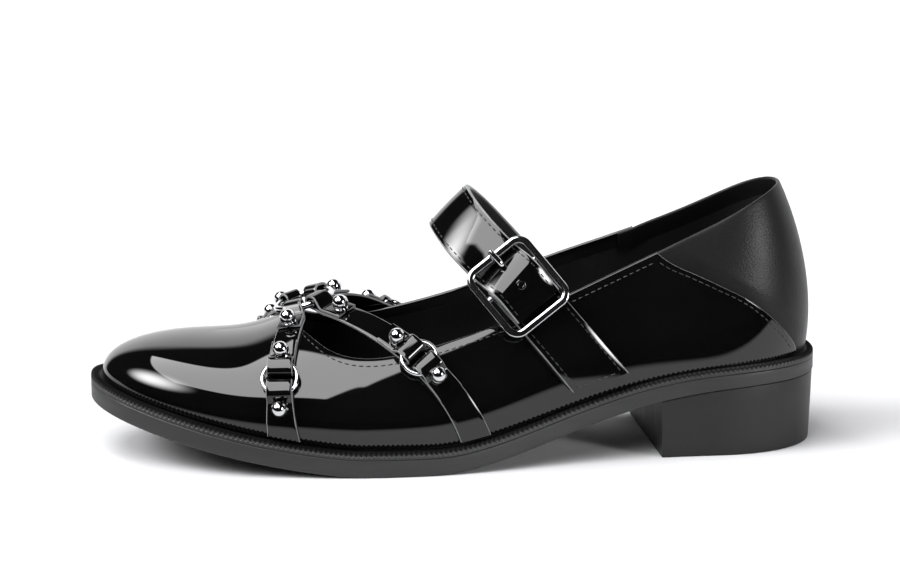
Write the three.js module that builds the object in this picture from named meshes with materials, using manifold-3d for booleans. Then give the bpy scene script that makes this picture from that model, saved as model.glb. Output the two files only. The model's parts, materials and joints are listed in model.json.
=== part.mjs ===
// Mary jane shoe, left foot, EU 38: a ribbed welt sole on a stacked heel block, one hollow
// leather upper cut low at the throat, a buckled instep strap, and a vamp harness of straps,
// rings and ball studs. Millimetres. Toe at -X, heel at +X, inner (medial) side at +Y, +Z up.
// Origin: centre of the bounding box on the floor.
import * as THREE from 'three';
import { mergeVertices } from 'three/addons/utils/BufferGeometryUtils.js';
import Module from 'manifold-3d';

const wasm = await Module();
wasm.setup();

// ---------------------------------------------------------------- driving dimensions
const TOE_TIP = -133;
const HEEL_TIP = 133;
const GAP = 0.3;                 // clearance between neighbouring pieces
const TREAD = { front: -38, back: -14, toeLift: 19.3, seatLift: 26 };
const TOE_ROUND = { length: 60, power: 2.2 };
const HEEL_ROUND = { length: 40, power: 2.2 };
const WELT_THICKNESS = 2.4;
const WALL = 1.7;                // thickness of upper leather with its lining
const INSOLE_THICKNESS = 4.6;
const HEEL = { breast: 71, inset: 0.3, taper: 0.9 };
const PIVOT = { toe: 44, heel: 33, power: 3 };
const THROAT_X = -62.5;
const STRAP = { width: 19.8, thickness: 2.2, ply: 1.0, clear: 0.6 };
const BUCKLE = {
  width: 28, length: 30.6, bar: 2.7, depth: 2.2, corner: 5.5,
  centreBar: 1.1, rise: 0.9, barShift: 3.5, sideShift: 0.7, turn: -3,
};
const HARNESS = { width: 9.2, foldWidth: 5.6, footWidth: 11.2, ply: 1.0, clear: 0.35, slack: 0.4 };
const PRONG = 1.1;
const BIG_RING = { radius: 10.2, wire: 1.25 };
const SMALL_RING = { radius: 6.2, wire: 0.9 };
const STUD = { ball: 2.9, neck: 2.2, foot: 2.4, lip: 0.22, rise: 0.42 };

// Plan of the outsole, a row per section: x along the foot, centre line, half width before
// the ends are rounded off, rubber thickness, and the ledge of welt outside the upper.
const SOLE_ROWS = [
  { x: -133, centre: 6.1, half: 43.0, rubber: 6.5, ledge: 4.2 },
  { x: -110, centre: 5.6, half: 45.0, rubber: 6.7, ledge: 4.5 },
  { x: -90, centre: 4.1, half: 46.8, rubber: 6.6, ledge: 4.8 },
  { x: -70, centre: 2.1, half: 48.3, rubber: 6.5, ledge: 4.8 },
  { x: -50, centre: 0.3, half: 49.4, rubber: 6.5, ledge: 4.6 },
  { x: -30, centre: -1.3, half: 49.2, rubber: 6.5, ledge: 4.4 },
  { x: -10, centre: -2.5, half: 47.2, rubber: 6.5, ledge: 4.1 },
  { x: 10, centre: -3.1, half: 43.2, rubber: 6.5, ledge: 3.8 },
  { x: 30, centre: -2.9, half: 38.8, rubber: 6.4, ledge: 3.4 },
  { x: 50, centre: -2.3, half: 35.6, rubber: 6.2, ledge: 3.2 },
  { x: 70, centre: -1.7, half: 34.2, rubber: 5.9, ledge: 3.0 },
  { x: 95, centre: -1.2, half: 34.2, rubber: 5.5, ledge: 2.9 },
  { x: 133, centre: -0.9, half: 33.0, rubber: 5.2, ledge: 2.8 },
];

// Ridge of the last above the foot's centre line, a row per section. Behind the throat the
// ridge is the instep and ankle that the opening cuts away.
const RIDGE_ROWS = [
  { x: -89, height: 43.1, centre: 3.6 },
  { x: -79, height: 43.8, centre: 2.8 },
  { x: -70, height: 45.6, centre: 2.2 },
  { x: -60, height: 49.4, centre: 1.8 },
  { x: -50, height: 52.4, centre: 1.2 },
  { x: -26, height: 57.0, centre: 0.5 },
  { x: 8, height: 70.0, centre: 0.1 },
  { x: 42, height: 92.0, centre: -0.1 },
  { x: 57, height: 100.0, centre: -0.3 },
  { x: 72, height: 107.0, centre: -0.5 },
  { x: 97, height: 116.0, centre: -0.9 },
];

// Half section above each feather point: its fullness, where 2 is an ellipse and more is
// squarer, how much less full it is on the inner side of the foot, and how far its wall
// swells past the feather line, as a share of its half width.
const SECTION_ROWS = [
  { x: -130, fullness: 2.3, innerFall: 0.0, swell: 0.0 },
  { x: -95, fullness: 2.3, innerFall: 0.42, swell: 0.012 },
  { x: -60, fullness: 2.2, innerFall: 0.42, swell: 0.03 },
  { x: -26, fullness: 2.1, innerFall: 0.2, swell: 0.03 },
  { x: 8, fullness: 2.0, innerFall: 0.0, swell: 0.03 },
  { x: 42, fullness: 1.9, innerFall: 0.0, swell: 0.03 },
  { x: 72, fullness: 1.68, innerFall: 0.0, swell: 0.03 },
  { x: 91, fullness: 1.6, innerFall: 0.0, swell: 0.03 },
  { x: 110, fullness: 1.75, innerFall: 0.0, swell: 0.035 },
  { x: 131, fullness: 2.0, innerFall: 0.0, swell: 0.055 },
];

// Topline seen from the side, from the throat round the collar to the back, and how much
// higher it runs on the inner side of the foot.
const TOPLINE_ROWS = [
  { x: -63, height: 50.5, innerLift: 0.0 },
  { x: -57, height: 47.6, innerLift: 0.3 },
  { x: -50, height: 43.4, innerLift: 1.2 },
  { x: -42, height: 40.8, innerLift: 2.4 },
  { x: -29, height: 40.7, innerLift: 3.2 },
  { x: -11, height: 44.2, innerLift: 3.6 },
  { x: 12, height: 51.0, innerLift: 3.8 },
  { x: 33, height: 58.8, innerLift: 3.8 },
  { x: 48, height: 64.9, innerLift: 3.0 },
  { x: 70, height: 74.0, innerLift: 1.4 },
  { x: 100, height: 87.4, innerLift: 0.2 },
  { x: 111, height: 92.8, innerLift: 0.0 },
  { x: 119, height: 96.0, innerLift: 0.0 },
  { x: 130, height: 99.0, innerLift: 0.0 },
];

// ---------------------------------------------------------------- curves through the tables
/** Natural cubic spline through one named column of a table, straight on past its ends. */
function spline(rows, column) {
  const xs = rows.map((row) => row.x);
  const ys = rows.map((row) => row[column]);
  const last = xs.length - 1;
  const bend = new Array(xs.length).fill(0);
  const carry = new Array(xs.length).fill(0);
  for (let i = 1; i < last; i++) {
    const left = xs[i] - xs[i - 1];
    const right = xs[i + 1] - xs[i];
    const pivot = 2 * (left + right) - left * carry[i - 1];
    carry[i] = right / pivot;
    const turn = 6 * ((ys[i + 1] - ys[i]) / right - (ys[i] - ys[i - 1]) / left);
    bend[i] = (turn - left * bend[i - 1]) / pivot;
  }
  for (let i = last - 1; i > 0; i--) bend[i] -= carry[i] * bend[i + 1];
  return (x) => {
    let i = 0;
    while (i < last - 1 && x > xs[i + 1]) i++;
    const step = xs[i + 1] - xs[i];
    const b = THREE.MathUtils.clamp((x - xs[i]) / step, 0, 1);
    const a = 1 - b;
    const cubic = ((a ** 3 - a) * bend[i] + (b ** 3 - b) * bend[i + 1]) * step ** 2 / 6;
    return a * ys[i] + b * ys[i + 1] + cubic;
  };
}

const soleCentre = spline(SOLE_ROWS, 'centre');
const soleHalf = spline(SOLE_ROWS, 'half');
const rubber = spline(SOLE_ROWS, 'rubber');
const ledge = spline(SOLE_ROWS, 'ledge');
const ridgeHeight = spline(RIDGE_ROWS, 'height');
const ridgeCentre = spline(RIDGE_ROWS, 'centre');
const fullness = spline(SECTION_ROWS, 'fullness');
const innerFall = spline(SECTION_ROWS, 'innerFall');
const swell = spline(SECTION_ROWS, 'swell');
const outerTopline = spline(TOPLINE_ROWS, 'height');
const innerLift = spline(TOPLINE_ROWS, 'innerLift');
const toplineHeight = (x, side) => outerTopline(x) + (side > 0 ? innerLift(x) : 0);

/** Tread line: flat under the ball, toe spring in front, arch and heel seat behind. */
function treadHeight(x) {
  if (x < TREAD.front) {
    return TREAD.toeLift * ((TREAD.front - x) / (TREAD.front - TOE_TIP)) ** 1.45;
  }
  if (x < TREAD.back) return 0;
  const along = (x - TREAD.back) / (HEEL_TIP - TREAD.back);
  return TREAD.seatLift * (1 - (1 - along) ** 3.1 * (1 + 3.1 * along));
}

const soleTop = (x) => treadHeight(x) + rubber(x);
const featherHeight = (x) => soleTop(x) + GAP + WELT_THICKNESS + GAP;

/** Quarter of a superellipse: 0 at the tip, 1 once `run` reaches `length`. */
function rounding(run, { length, power }, inset) {
  const rest = 1 - THREE.MathUtils.clamp(run / (length - inset), 0, 1);
  return (1 - rest ** power) ** (1 / power);
}

/** Outline of the sole, or of what stands inside its ledge, drawn in by a further inset. */
function outline({ insideLedge = false, inset = 0 }) {
  const draw = (x) => inset + (insideLedge ? ledge(x) : 0);
  const start = TOE_TIP + draw(TOE_TIP);
  const end = HEEL_TIP - draw(HEEL_TIP);
  const half = (x) => (soleHalf(x) - draw(x))
    * rounding(x - start, TOE_ROUND, inset) * rounding(end - x, HEEL_ROUND, inset);
  return { start, end, half, edge: (x, side) => soleCentre(x) + side * half(x) };
}

const soleOutline = outline({});
const feather = outline({ insideLedge: true });

/** Stations from one end to the other, closer together at the rounded ends. */
function stations(start, end, count, openEnd = false) {
  const list = [];
  for (let i = 0; i <= count; i++) {
    const turn = openEnd ? Math.PI / 2 + (Math.PI / 2) * (i / count) : Math.PI * (i / count);
    const along = openEnd ? -Math.cos(turn) : (1 - Math.cos(turn)) / 2;
    list.push(start + (end - start) * along);
  }
  return list;
}

// ---------------------------------------------------------------- mesh building
/** Gathers quads and triangles, sharing equal corners and dropping folded ones. */
class Skin {
  constructor() {
    this.points = [];
    this.faces = [];
    this.found = new Map();
  }

  corner(p) {
    const key = [p.x, p.y, p.z].map((v) => Math.round(v * 2000)).join();
    if (!this.found.has(key)) {
      this.found.set(key, this.points.length / 3);
      this.points.push(p.x, p.y, p.z);
    }
    return this.found.get(key);
  }

  triangle(a, b, c) {
    const [i, j, k] = [a, b, c].map((p) => this.corner(p));
    if (i !== j && j !== k && k !== i) this.faces.push(i, j, k);
  }

  quad(a, b, c, d) {
    this.triangle(a, b, c);
    this.triangle(a, c, d);
  }

  geometry() {
    const shape = new THREE.BufferGeometry();
    shape.setAttribute('position', new THREE.Float32BufferAttribute(this.points, 3));
    shape.setIndex(this.faces);
    return outward(shape);
  }
}

/** Turns a closed shape's faces to point out, by the sign of its volume. */
function outward(shape) {
  const index = shape.index.array;
  const at = shape.attributes.position;
  const [a, b, c] = [new THREE.Vector3(), new THREE.Vector3(), new THREE.Vector3()];
  let volume = 0;
  for (let i = 0; i < index.length; i += 3) {
    a.fromBufferAttribute(at, index[i]);
    b.fromBufferAttribute(at, index[i + 1]);
    c.fromBufferAttribute(at, index[i + 2]);
    volume += a.dot(b.cross(c));
  }
  if (volume < 0) {
    for (let i = 0; i < index.length; i += 3) {
      [index[i + 1], index[i + 2]] = [index[i + 2], index[i + 1]];
    }
  }
  shape.computeVertexNormals();
  return shape;
}

/** Slab between two heights over an outline, cut into strips across the foot. */
function slab(plan, xs, bottom, top) {
  const skin = new Skin();
  for (let i = 0; i + 1 < xs.length; i++) {
    const [x0, x1] = [xs[i], xs[i + 1]];
    const low = (x, side) => new THREE.Vector3(x, plan.edge(x, side), bottom(x));
    const high = (x, side) => new THREE.Vector3(x, plan.edge(x, side), top(x));
    skin.quad(high(x0, -1), high(x1, -1), high(x1, 1), high(x0, 1));
    skin.quad(low(x0, 1), low(x1, 1), low(x1, -1), low(x0, -1));
    skin.quad(low(x0, -1), low(x1, -1), high(x1, -1), high(x0, -1));
    skin.quad(high(x0, 1), high(x1, 1), low(x1, 1), low(x0, 1));
    for (const [x, cut] of [[x0, i === 0], [x1, i + 2 === xs.length]]) {
      if (!cut) continue;
      if (x === x0) skin.quad(low(x, 1), low(x, -1), high(x, -1), high(x, 1));
      else skin.quad(high(x, 1), high(x, -1), low(x, -1), low(x, 1));
    }
  }
  return skin.geometry();
}

const toSolid = (shape) => {
  const bare = shape.clone();
  for (const name of Object.keys(bare.attributes)) {
    if (name !== 'position') bare.deleteAttribute(name);
  }
  const merged = mergeVertices(bare, 1e-4);
  return new wasm.Manifold(new wasm.Mesh({
    numProp: 3,
    vertProperties: new Float32Array(merged.attributes.position.array),
    triVerts: new Uint32Array(merged.index.array),
  }));
};

const fromSolid = (solid) => {
  const mesh = solid.getMesh();
  const shape = new THREE.BufferGeometry();
  shape.setAttribute('position', new THREE.Float32BufferAttribute(mesh.vertProperties, 3));
  shape.setIndex(Array.from(mesh.triVerts));
  shape.computeVertexNormals();
  return shape;
};

// ---------------------------------------------------------------- surface of the last
/** Ridge x above a feather point: profiles fan out round a pivot at the toe and the heel. */
function ridgeX(x) {
  const { power } = PIVOT;
  const fromToe = x - feather.start;
  const fromHeel = feather.end - x;
  const forward = (fromToe ** power + PIVOT.toe ** power) ** (1 / power) - fromToe;
  const backward = (fromHeel ** power + PIVOT.heel ** power) ** (1 / power) - fromHeel;
  return x + forward - backward;
}

function ridgePoint(x) {
  const along = ridgeX(x);
  return new THREE.Vector3(along, ridgeCentre(along), ridgeHeight(along));
}

/** Outer face of the upper above feather station x: turn 0 is the feather, 1 the ridge. */
function lastPoint(x, side, turn) {
  const power = fullness(x) - (side > 0 ? innerFall(x) : 0);
  const angle = turn * Math.PI / 2;
  const scale = (Math.cos(angle) ** power + Math.sin(angle) ** power) ** (-1 / power);
  const rise = Math.sin(angle) * scale;
  const reach = Math.cos(angle) * scale * (1 + swell(x) * 6.75 * rise * (1 - rise) ** 2);
  const ridge = ridgePoint(x);
  const foot = new THREE.Vector3(x, feather.edge(x, side), featherHeight(x));
  return new THREE.Vector3(
    ridge.x + (foot.x - ridge.x) * reach,
    ridge.y + (foot.y - ridge.y) * reach,
    foot.z + (ridge.z - foot.z) * rise,
  );
}

/** Outward normal of the last, by small steps along and up. */
function lastNormal(x, side, turn) {
  if (turn > 0.995) {
    const ridge = ridgeX(x);
    const slope = (ridgeHeight(ridge + 1) - ridgeHeight(ridge - 1)) / 2;
    return new THREE.Vector3(-slope, 0, 1).normalize();
  }
  const step = 0.4;
  const xa = Math.max(x - step, feather.start + 0.01);
  const xb = Math.min(x + step, feather.end - 0.01);
  const along = lastPoint(xb, side, turn).sub(lastPoint(xa, side, turn));
  const up = lastPoint(x, side, Math.min(turn + 0.004, 1))
    .sub(lastPoint(x, side, Math.max(turn - 0.004, 0)));
  const normal = along.cross(up).multiplyScalar(-side).normalize();
  if (x < feather.start + 0.02 || x > feather.end - 0.02) normal.setY(0).normalize();
  return normal;
}

/** Bisection for the first turn, or station, where `test` passes from negative to positive. */
function crossing(test, low, high, steps) {
  let a = low;
  let b = low;
  while (b < high && test(b) < 0) {
    a = b;
    b = Math.min(b + (high - low) / steps, high);
  }
  if (test(b) < 0) return high;
  for (let i = 0; i < 30; i++) {
    const mid = (a + b) / 2;
    if (test(mid) < 0) a = mid;
    else b = mid;
  }
  return b;
}

/** Turn at which a profile meets the topline, or 1 where it closes over the toe. */
function toplineTurn(x, side) {
  if (ridgeX(x) <= THROAT_X + 1e-6) return 1;
  return crossing((turn) => {
    const p = lastPoint(x, side, turn);
    return p.x <= THROAT_X ? -1 : p.z - toplineHeight(p.x, side);
  }, 0, 1, 200);
}

// ---------------------------------------------------------------- upper
const UPPER_COLUMNS = 36;
const UPPER_ROWS = 11;

/** Feather stations, with one moved so that its profile ends exactly at the throat. */
function upperStations() {
  const xs = stations(feather.start, feather.end, UPPER_COLUMNS);
  const throat = crossing((x) => ridgeX(x) - THROAT_X, feather.start, 0, 60);
  const near = xs.reduce((best, x, i) => (Math.abs(x - throat) < Math.abs(xs[best] - throat) ? i : best), 0);
  xs[near] = throat;
  return xs;
}

/** One hollow wall, open along the topline and underneath. */
function makeUpper() {
  const skin = new Skin();
  const column = (x, side) => {
    const top = toplineTurn(x, side);
    const outer = [];
    const inner = [];
    for (let row = 0; row <= UPPER_ROWS; row++) {
      const turn = top * (row / UPPER_ROWS);
      const p = lastPoint(x, side, turn);
      const normal = lastNormal(x, side, turn);
      if (row === 0) normal.setZ(0).normalize();
      outer.push(p);
      inner.push(p.clone().addScaledVector(normal, -WALL));
    }
    return { outer, inner, open: top < 1 };
  };
  const xs = upperStations();
  const tips = [column(xs[0], -1), column(xs.at(-1), -1)];
  for (const side of [-1, 1]) {
    const between = xs.slice(1, -1).map((x) => column(x, side));
    const columns = [tips[0], ...between, tips[1]];
    for (let i = 0; i + 1 < xs.length; i++) {
      const [a, b] = side < 0 ? [columns[i], columns[i + 1]] : [columns[i + 1], columns[i]];
      for (let row = 0; row < UPPER_ROWS; row++) {
        skin.quad(a.outer[row], b.outer[row], b.outer[row + 1], a.outer[row + 1]);
        skin.quad(b.inner[row], a.inner[row], a.inner[row + 1], b.inner[row + 1]);
      }
      skin.quad(b.outer[0], a.outer[0], a.inner[0], b.inner[0]);
      if (a.open || b.open) {
        const top = UPPER_ROWS;
        skin.quad(a.outer[top], b.outer[top], b.inner[top], a.inner[top]);
      }
    }
  }
  return skin.geometry();
}

// ---------------------------------------------------------------- sole, welt, heel, insole
const SOLE_STRIPS = 34;

/** Sole stations, with two of them on the ends of the flat tread. */
function soleStations(plan) {
  const xs = stations(plan.start, plan.end, SOLE_STRIPS);
  for (const edge of [TREAD.front, TREAD.back]) {
    const near = xs.reduce((best, x, i) => (Math.abs(x - edge) < Math.abs(xs[best] - edge) ? i : best), 0);
    xs[near] = edge;
  }
  return xs;
}

const makeOutsole = () => slab(soleOutline, soleStations(soleOutline), treadHeight, soleTop);

/** Ring of welt round the foot, under the wall of the upper and out to the sole's edge. */
function makeWelt() {
  const skin = new Skin();
  const inner = outline({ insideLedge: true, inset: WALL });
  const count = 40;
  const outerXs = stations(soleOutline.start, soleOutline.end, count);
  const innerXs = stations(inner.start, inner.end, count);
  const at = (plan, x, side, lift) => new THREE.Vector3(x, plan.edge(x, side), soleTop(x) + GAP + lift);
  for (const side of [-1, 1]) {
    for (let i = 0; i < count; i++) {
      const [a, b] = side < 0 ? [i, i + 1] : [i + 1, i];
      const out = (k, lift) => at(soleOutline, outerXs[k], side, lift);
      const inn = (k, lift) => at(inner, innerXs[k], side, lift);
      const top = WELT_THICKNESS;
      skin.quad(out(a, 0), out(b, 0), out(b, top), out(a, top));
      skin.quad(out(a, top), out(b, top), inn(b, top), inn(a, top));
      skin.quad(inn(a, top), inn(b, top), inn(b, 0), inn(a, 0));
      skin.quad(inn(a, 0), inn(b, 0), out(b, 0), out(a, 0));
    }
  }
  return skin.geometry();
}

/** Footbed inside the welt and the upper, on the outsole. */
function makeInsole() {
  const clear = WALL + 0.9;
  const plan = outline({ insideLedge: true, inset: clear });
  const bottom = (x) => soleTop(x) + GAP;
  return slab(plan, soleStations(plan), bottom, (x) => bottom(x) + INSOLE_THICKNESS);
}

/** Heel block: breast cut square across, sides drawn in a little towards the floor. */
function makeHeel() {
  const top = outline({ inset: HEEL.inset });
  const low = outline({ inset: HEEL.inset + HEEL.taper });
  const skin = new Skin();
  const count = 16;
  const topXs = stations(HEEL.breast, top.end, count, true);
  const lowXs = stations(HEEL.breast, low.end, count, true);
  const high = (i, side) => new THREE.Vector3(topXs[i], top.edge(topXs[i], side), treadHeight(topXs[i]) - GAP);
  const floor = (i, side) => new THREE.Vector3(lowXs[i], low.edge(lowXs[i], side), 0);
  for (let i = 0; i < count; i++) {
    skin.quad(high(i, -1), high(i + 1, -1), high(i + 1, 1), high(i, 1));
    skin.quad(floor(i, 1), floor(i + 1, 1), floor(i + 1, -1), floor(i, -1));
    skin.quad(floor(i, -1), floor(i + 1, -1), high(i + 1, -1), high(i, -1));
    skin.quad(high(i, 1), high(i + 1, 1), floor(i + 1, 1), floor(i, 1));
  }
  skin.quad(floor(0, 1), floor(0, -1), high(0, -1), high(0, 1));
  return skin.geometry();
}

// ---------------------------------------------------------------- routes and ribbons
/** A path over the shoe with a surface normal at each point, measured by its length. */
class Route {
  constructor(points, normals) {
    this.points = points;
    this.normals = normals;
    this.lengths = [0];
    for (let i = 1; i < points.length; i++) {
      this.lengths.push(this.lengths[i - 1] + points[i].distanceTo(points[i - 1]));
    }
    this.length = this.lengths.at(-1);
  }

  /** Frame at a length along the route; before its start and past its end it runs straight. */
  at(length) {
    const last = this.points.length - 1;
    let i = 0;
    while (i < last - 1 && this.lengths[i + 1] < length) i++;
    const share = (length - this.lengths[i]) / (this.lengths[i + 1] - this.lengths[i]);
    const point = this.points[i].clone().lerp(this.points[i + 1], share);
    const blend = THREE.MathUtils.clamp(share, 0, 1);
    const normal = this.normals[i].clone().lerp(this.normals[i + 1], blend);
    const before = this.points[Math.max(i - 1, 0)];
    const after = this.points[Math.min(i + 2, last)];
    const tangent = after.clone().sub(before);
    tangent.addScaledVector(normal, -tangent.dot(normal) / normal.lengthSq()).normalize();
    normal.normalize();
    const across = new THREE.Vector3().crossVectors(tangent, normal).normalize();
    if (across.x < 0) across.negate();
    return { point, tangent, normal, across };
  }

  /** Length along the route, and height over it, of a point near it. */
  locate(target, low = 0, high = this.length) {
    const length = crossing((s) => {
      const frame = this.at(s);
      return frame.point.sub(target).dot(frame.tangent);
    }, low, high, 60);
    const frame = this.at(length);
    return { length, height: target.clone().sub(frame.point).dot(frame.normal) };
  }
}

/** Route down one side of the last where a plane cuts it, from the ridge to the feather. */
function planeRoute(side, through, normal, topTurn, bottomTurn, lift) {
  const points = [];
  const normals = [];
  const count = 48;
  for (let i = 0; i <= count; i++) {
    const turn = THREE.MathUtils.lerp(topTurn, bottomTurn, i / count);
    const x = crossing((at) => lastPoint(at, side, turn).sub(through).dot(normal),
      feather.start, feather.end, 80);
    const surfaceNormal = lastNormal(x, side, turn);
    points.push(lastPoint(x, side, turn).addScaledVector(surfaceNormal, lift));
    normals.push(surfaceNormal);
  }
  return new Route(points, normals);
}

/** Strip of leather along [length, height] stations of a route, closed at both ends. */
function ribbon(route, path, thickness, widthAt, endSkew = 0) {
  const skin = new Skin();
  const centres = path.map(([s, h]) => {
    const frame = route.at(s);
    return { ...frame, centre: frame.point.clone().addScaledVector(frame.normal, h) };
  });
  const rings = centres.map((frame, i) => {
    const before = centres[Math.max(i - 1, 0)].centre;
    const after = centres[Math.min(i + 1, centres.length - 1)].centre;
    const run = after.clone().sub(before);
    const across = frame.across;
    const face = new THREE.Vector3().crossVectors(across, run).normalize();
    const half = widthAt(path[i][0]) / 2;
    const skew = i === centres.length - 1 ? endSkew : 0;
    return [[-1, -1], [1, -1], [1, 1], [-1, 1]].map(([edge, layer]) => frame.centre.clone()
      .addScaledVector(across, edge * half)
      .addScaledVector(frame.tangent, skew * edge * half)
      .addScaledVector(face, layer * thickness / 2));
  });
  for (let i = 0; i + 1 < rings.length; i++) {
    for (let k = 0; k < 4; k++) {
      const next = (k + 1) % 4;
      skin.quad(rings[i][k], rings[i][next], rings[i + 1][next], rings[i + 1][k]);
    }
  }
  const [first, last] = [rings[0], rings.at(-1)];
  skin.quad(first[3], first[2], first[1], first[0]);
  skin.quad(last[0], last[1], last[2], last[3]);
  return skin.geometry();
}

/** [length, height] stations of a bend round a wire, from one angle to another in degrees. */
function bend(length, height, radius, from, to) {
  const steps = 6;
  return Array.from({ length: steps + 1 }, (_, i) => {
    const angle = THREE.MathUtils.degToRad(THREE.MathUtils.lerp(from, to, i / steps));
    return [length + radius * Math.cos(angle), height + radius * Math.sin(angle)];
  });
}

/** Evenly spaced stations at one height. */
function run(from, to, height, step) {
  const count = Math.max(1, Math.round(Math.abs(to - from) / step));
  return Array.from({ length: count + 1 }, (_, i) => [THREE.MathUtils.lerp(from, to, i / count), height]);
}

/** Skew of a strap's end that lays it along the feather line. */
function feetSkew({ point, tangent, across }) {
  const slope = (featherHeight(point.x + 1) - featherHeight(point.x - 1)) / 2;
  return -(across.z - slope * across.x) / (tangent.z - slope * tangent.x);
}

// ---------------------------------------------------------------- vamp harness
// An arm a row: the plane that its strap follows, how high its small ring sits, how far its
// upper fold's loose end reaches, and its studs' distances from the big ring's wire and from
// the small ring's centre.
const ARM_ROWS = [
  { arm: 'front', x: -64.3, y: 28, z: 41, nx: 0.935, ny: 0.326, nz: 0.12, ringHeight: 33.1,
    tab: 11, upperStud: 8.8, middleStud: 9.6, lowerStud: 10.4 },
  { arm: 'rear', x: -26.0, y: 31, z: 44, nx: 0.716, ny: -0.583, nz: 0.385, ringHeight: 39.5,
    tab: 13, upperStud: 10.2, middleStud: 10.4, lowerStud: 9.0 },
];
const RING_X = -54.5;
const LAYER = HARNESS.ply / 2;
const STACK = LAYER + HARNESS.ply + GAP;

const ringSlope = (ridgeHeight(RING_X + 2) - ridgeHeight(RING_X - 2)) / 4;
const ringNormal = new THREE.Vector3(-ringSlope, 0, 1).normalize();
const ringAlong = new THREE.Vector3(1, 0, ringSlope).normalize();
const ringLift = HARNESS.clear + HARNESS.ply + GAP + BIG_RING.wire + 0.2;
const ringCentre = new THREE.Vector3(RING_X, 0.4, ridgeHeight(RING_X))
  .addScaledVector(ringNormal, ringLift);

const circlePoint = (centre, u, v, radius, angle) => centre.clone()
  .addScaledVector(u, radius * Math.cos(angle)).addScaledVector(v, radius * Math.sin(angle));

function ringShape(centre, normal, { radius, wire }, around, section) {
  const shape = new THREE.TorusGeometry(radius, wire, section, around);
  shape.applyQuaternion(new THREE.Quaternion().setFromUnitVectors(new THREE.Vector3(0, 0, 1), normal));
  shape.translate(centre.x, centre.y, centre.z);
  return shape;
}

/** How far a ring's wire strays, within a strap's width, from where the strap's middle meets it. */
function wireSpan(wirePoint, circle, frame) {
  const span = { back: 0, front: 0, low: 0, high: 0 };
  for (let angle = 0; angle < 2 * Math.PI; angle += 0.02) {
    const away = circle(angle).sub(wirePoint);
    if (away.length() > 8 || Math.abs(away.dot(frame.across)) > HARNESS.width / 2 + 0.3) continue;
    const along = away.dot(frame.tangent);
    const up = away.dot(frame.normal);
    span.back = Math.max(span.back, -along);
    span.front = Math.max(span.front, along);
    span.low = Math.max(span.low, -up);
    span.high = Math.max(span.high, up);
  }
  return span;
}

/** Stations of a strap folded round a wire; way is 1 when the strap lies beyond the wire. */
function fold(wire, span, wireRadius, way, slope) {
  const radius = wireRadius + HARNESS.slack + LAYER;
  const top = wire.height + span.high + radius;
  const bottom = Math.max(wire.height - span.low - radius, LAYER);
  const [behind, beyond] = way > 0 ? [span.back, span.front] : [span.front, span.back];
  const centre = wire.length - way * (behind + 0.6);
  const half = (top - bottom) / 2;
  const arc = bend(0, 0, half, 90, 270).map(([s, h]) => [centre + way * s, bottom + half + h]);
  return [
    [wire.length + way * (beyond + slope), STACK],
    [wire.length + way * (beyond + 0.6), top],
    ...arc,
    [wire.length + way * (beyond + 1.6), LAYER],
  ];
}

/** Ball stud standing on a strap: foot, neck and ball in one turned piece. */
function studShape(frame, height) {
  const { ball, neck, foot, lip, rise } = STUD;
  const start = Math.asin(neck / ball);
  const centre = rise + ball * Math.cos(start);
  const profile = [new THREE.Vector2(0, 0), new THREE.Vector2(foot, 0), new THREE.Vector2(foot, lip),
    new THREE.Vector2(neck, rise)];
  const steps = 5;
  for (let i = 1; i <= steps; i++) {
    const angle = start + (Math.PI - start) * (i / steps);
    const radius = i === steps ? 0 : ball * Math.sin(angle);
    profile.push(new THREE.Vector2(radius, centre - ball * Math.cos(angle)));
  }
  const shape = new THREE.LatheGeometry(profile, 10);
  const upright = new THREE.Vector3(0, 1, 0);
  shape.applyQuaternion(new THREE.Quaternion().setFromUnitVectors(upright, frame.normal));
  const at = frame.point.clone().addScaledVector(frame.normal, height);
  shape.translate(at.x, at.y, at.z);
  return shape;
}

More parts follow.
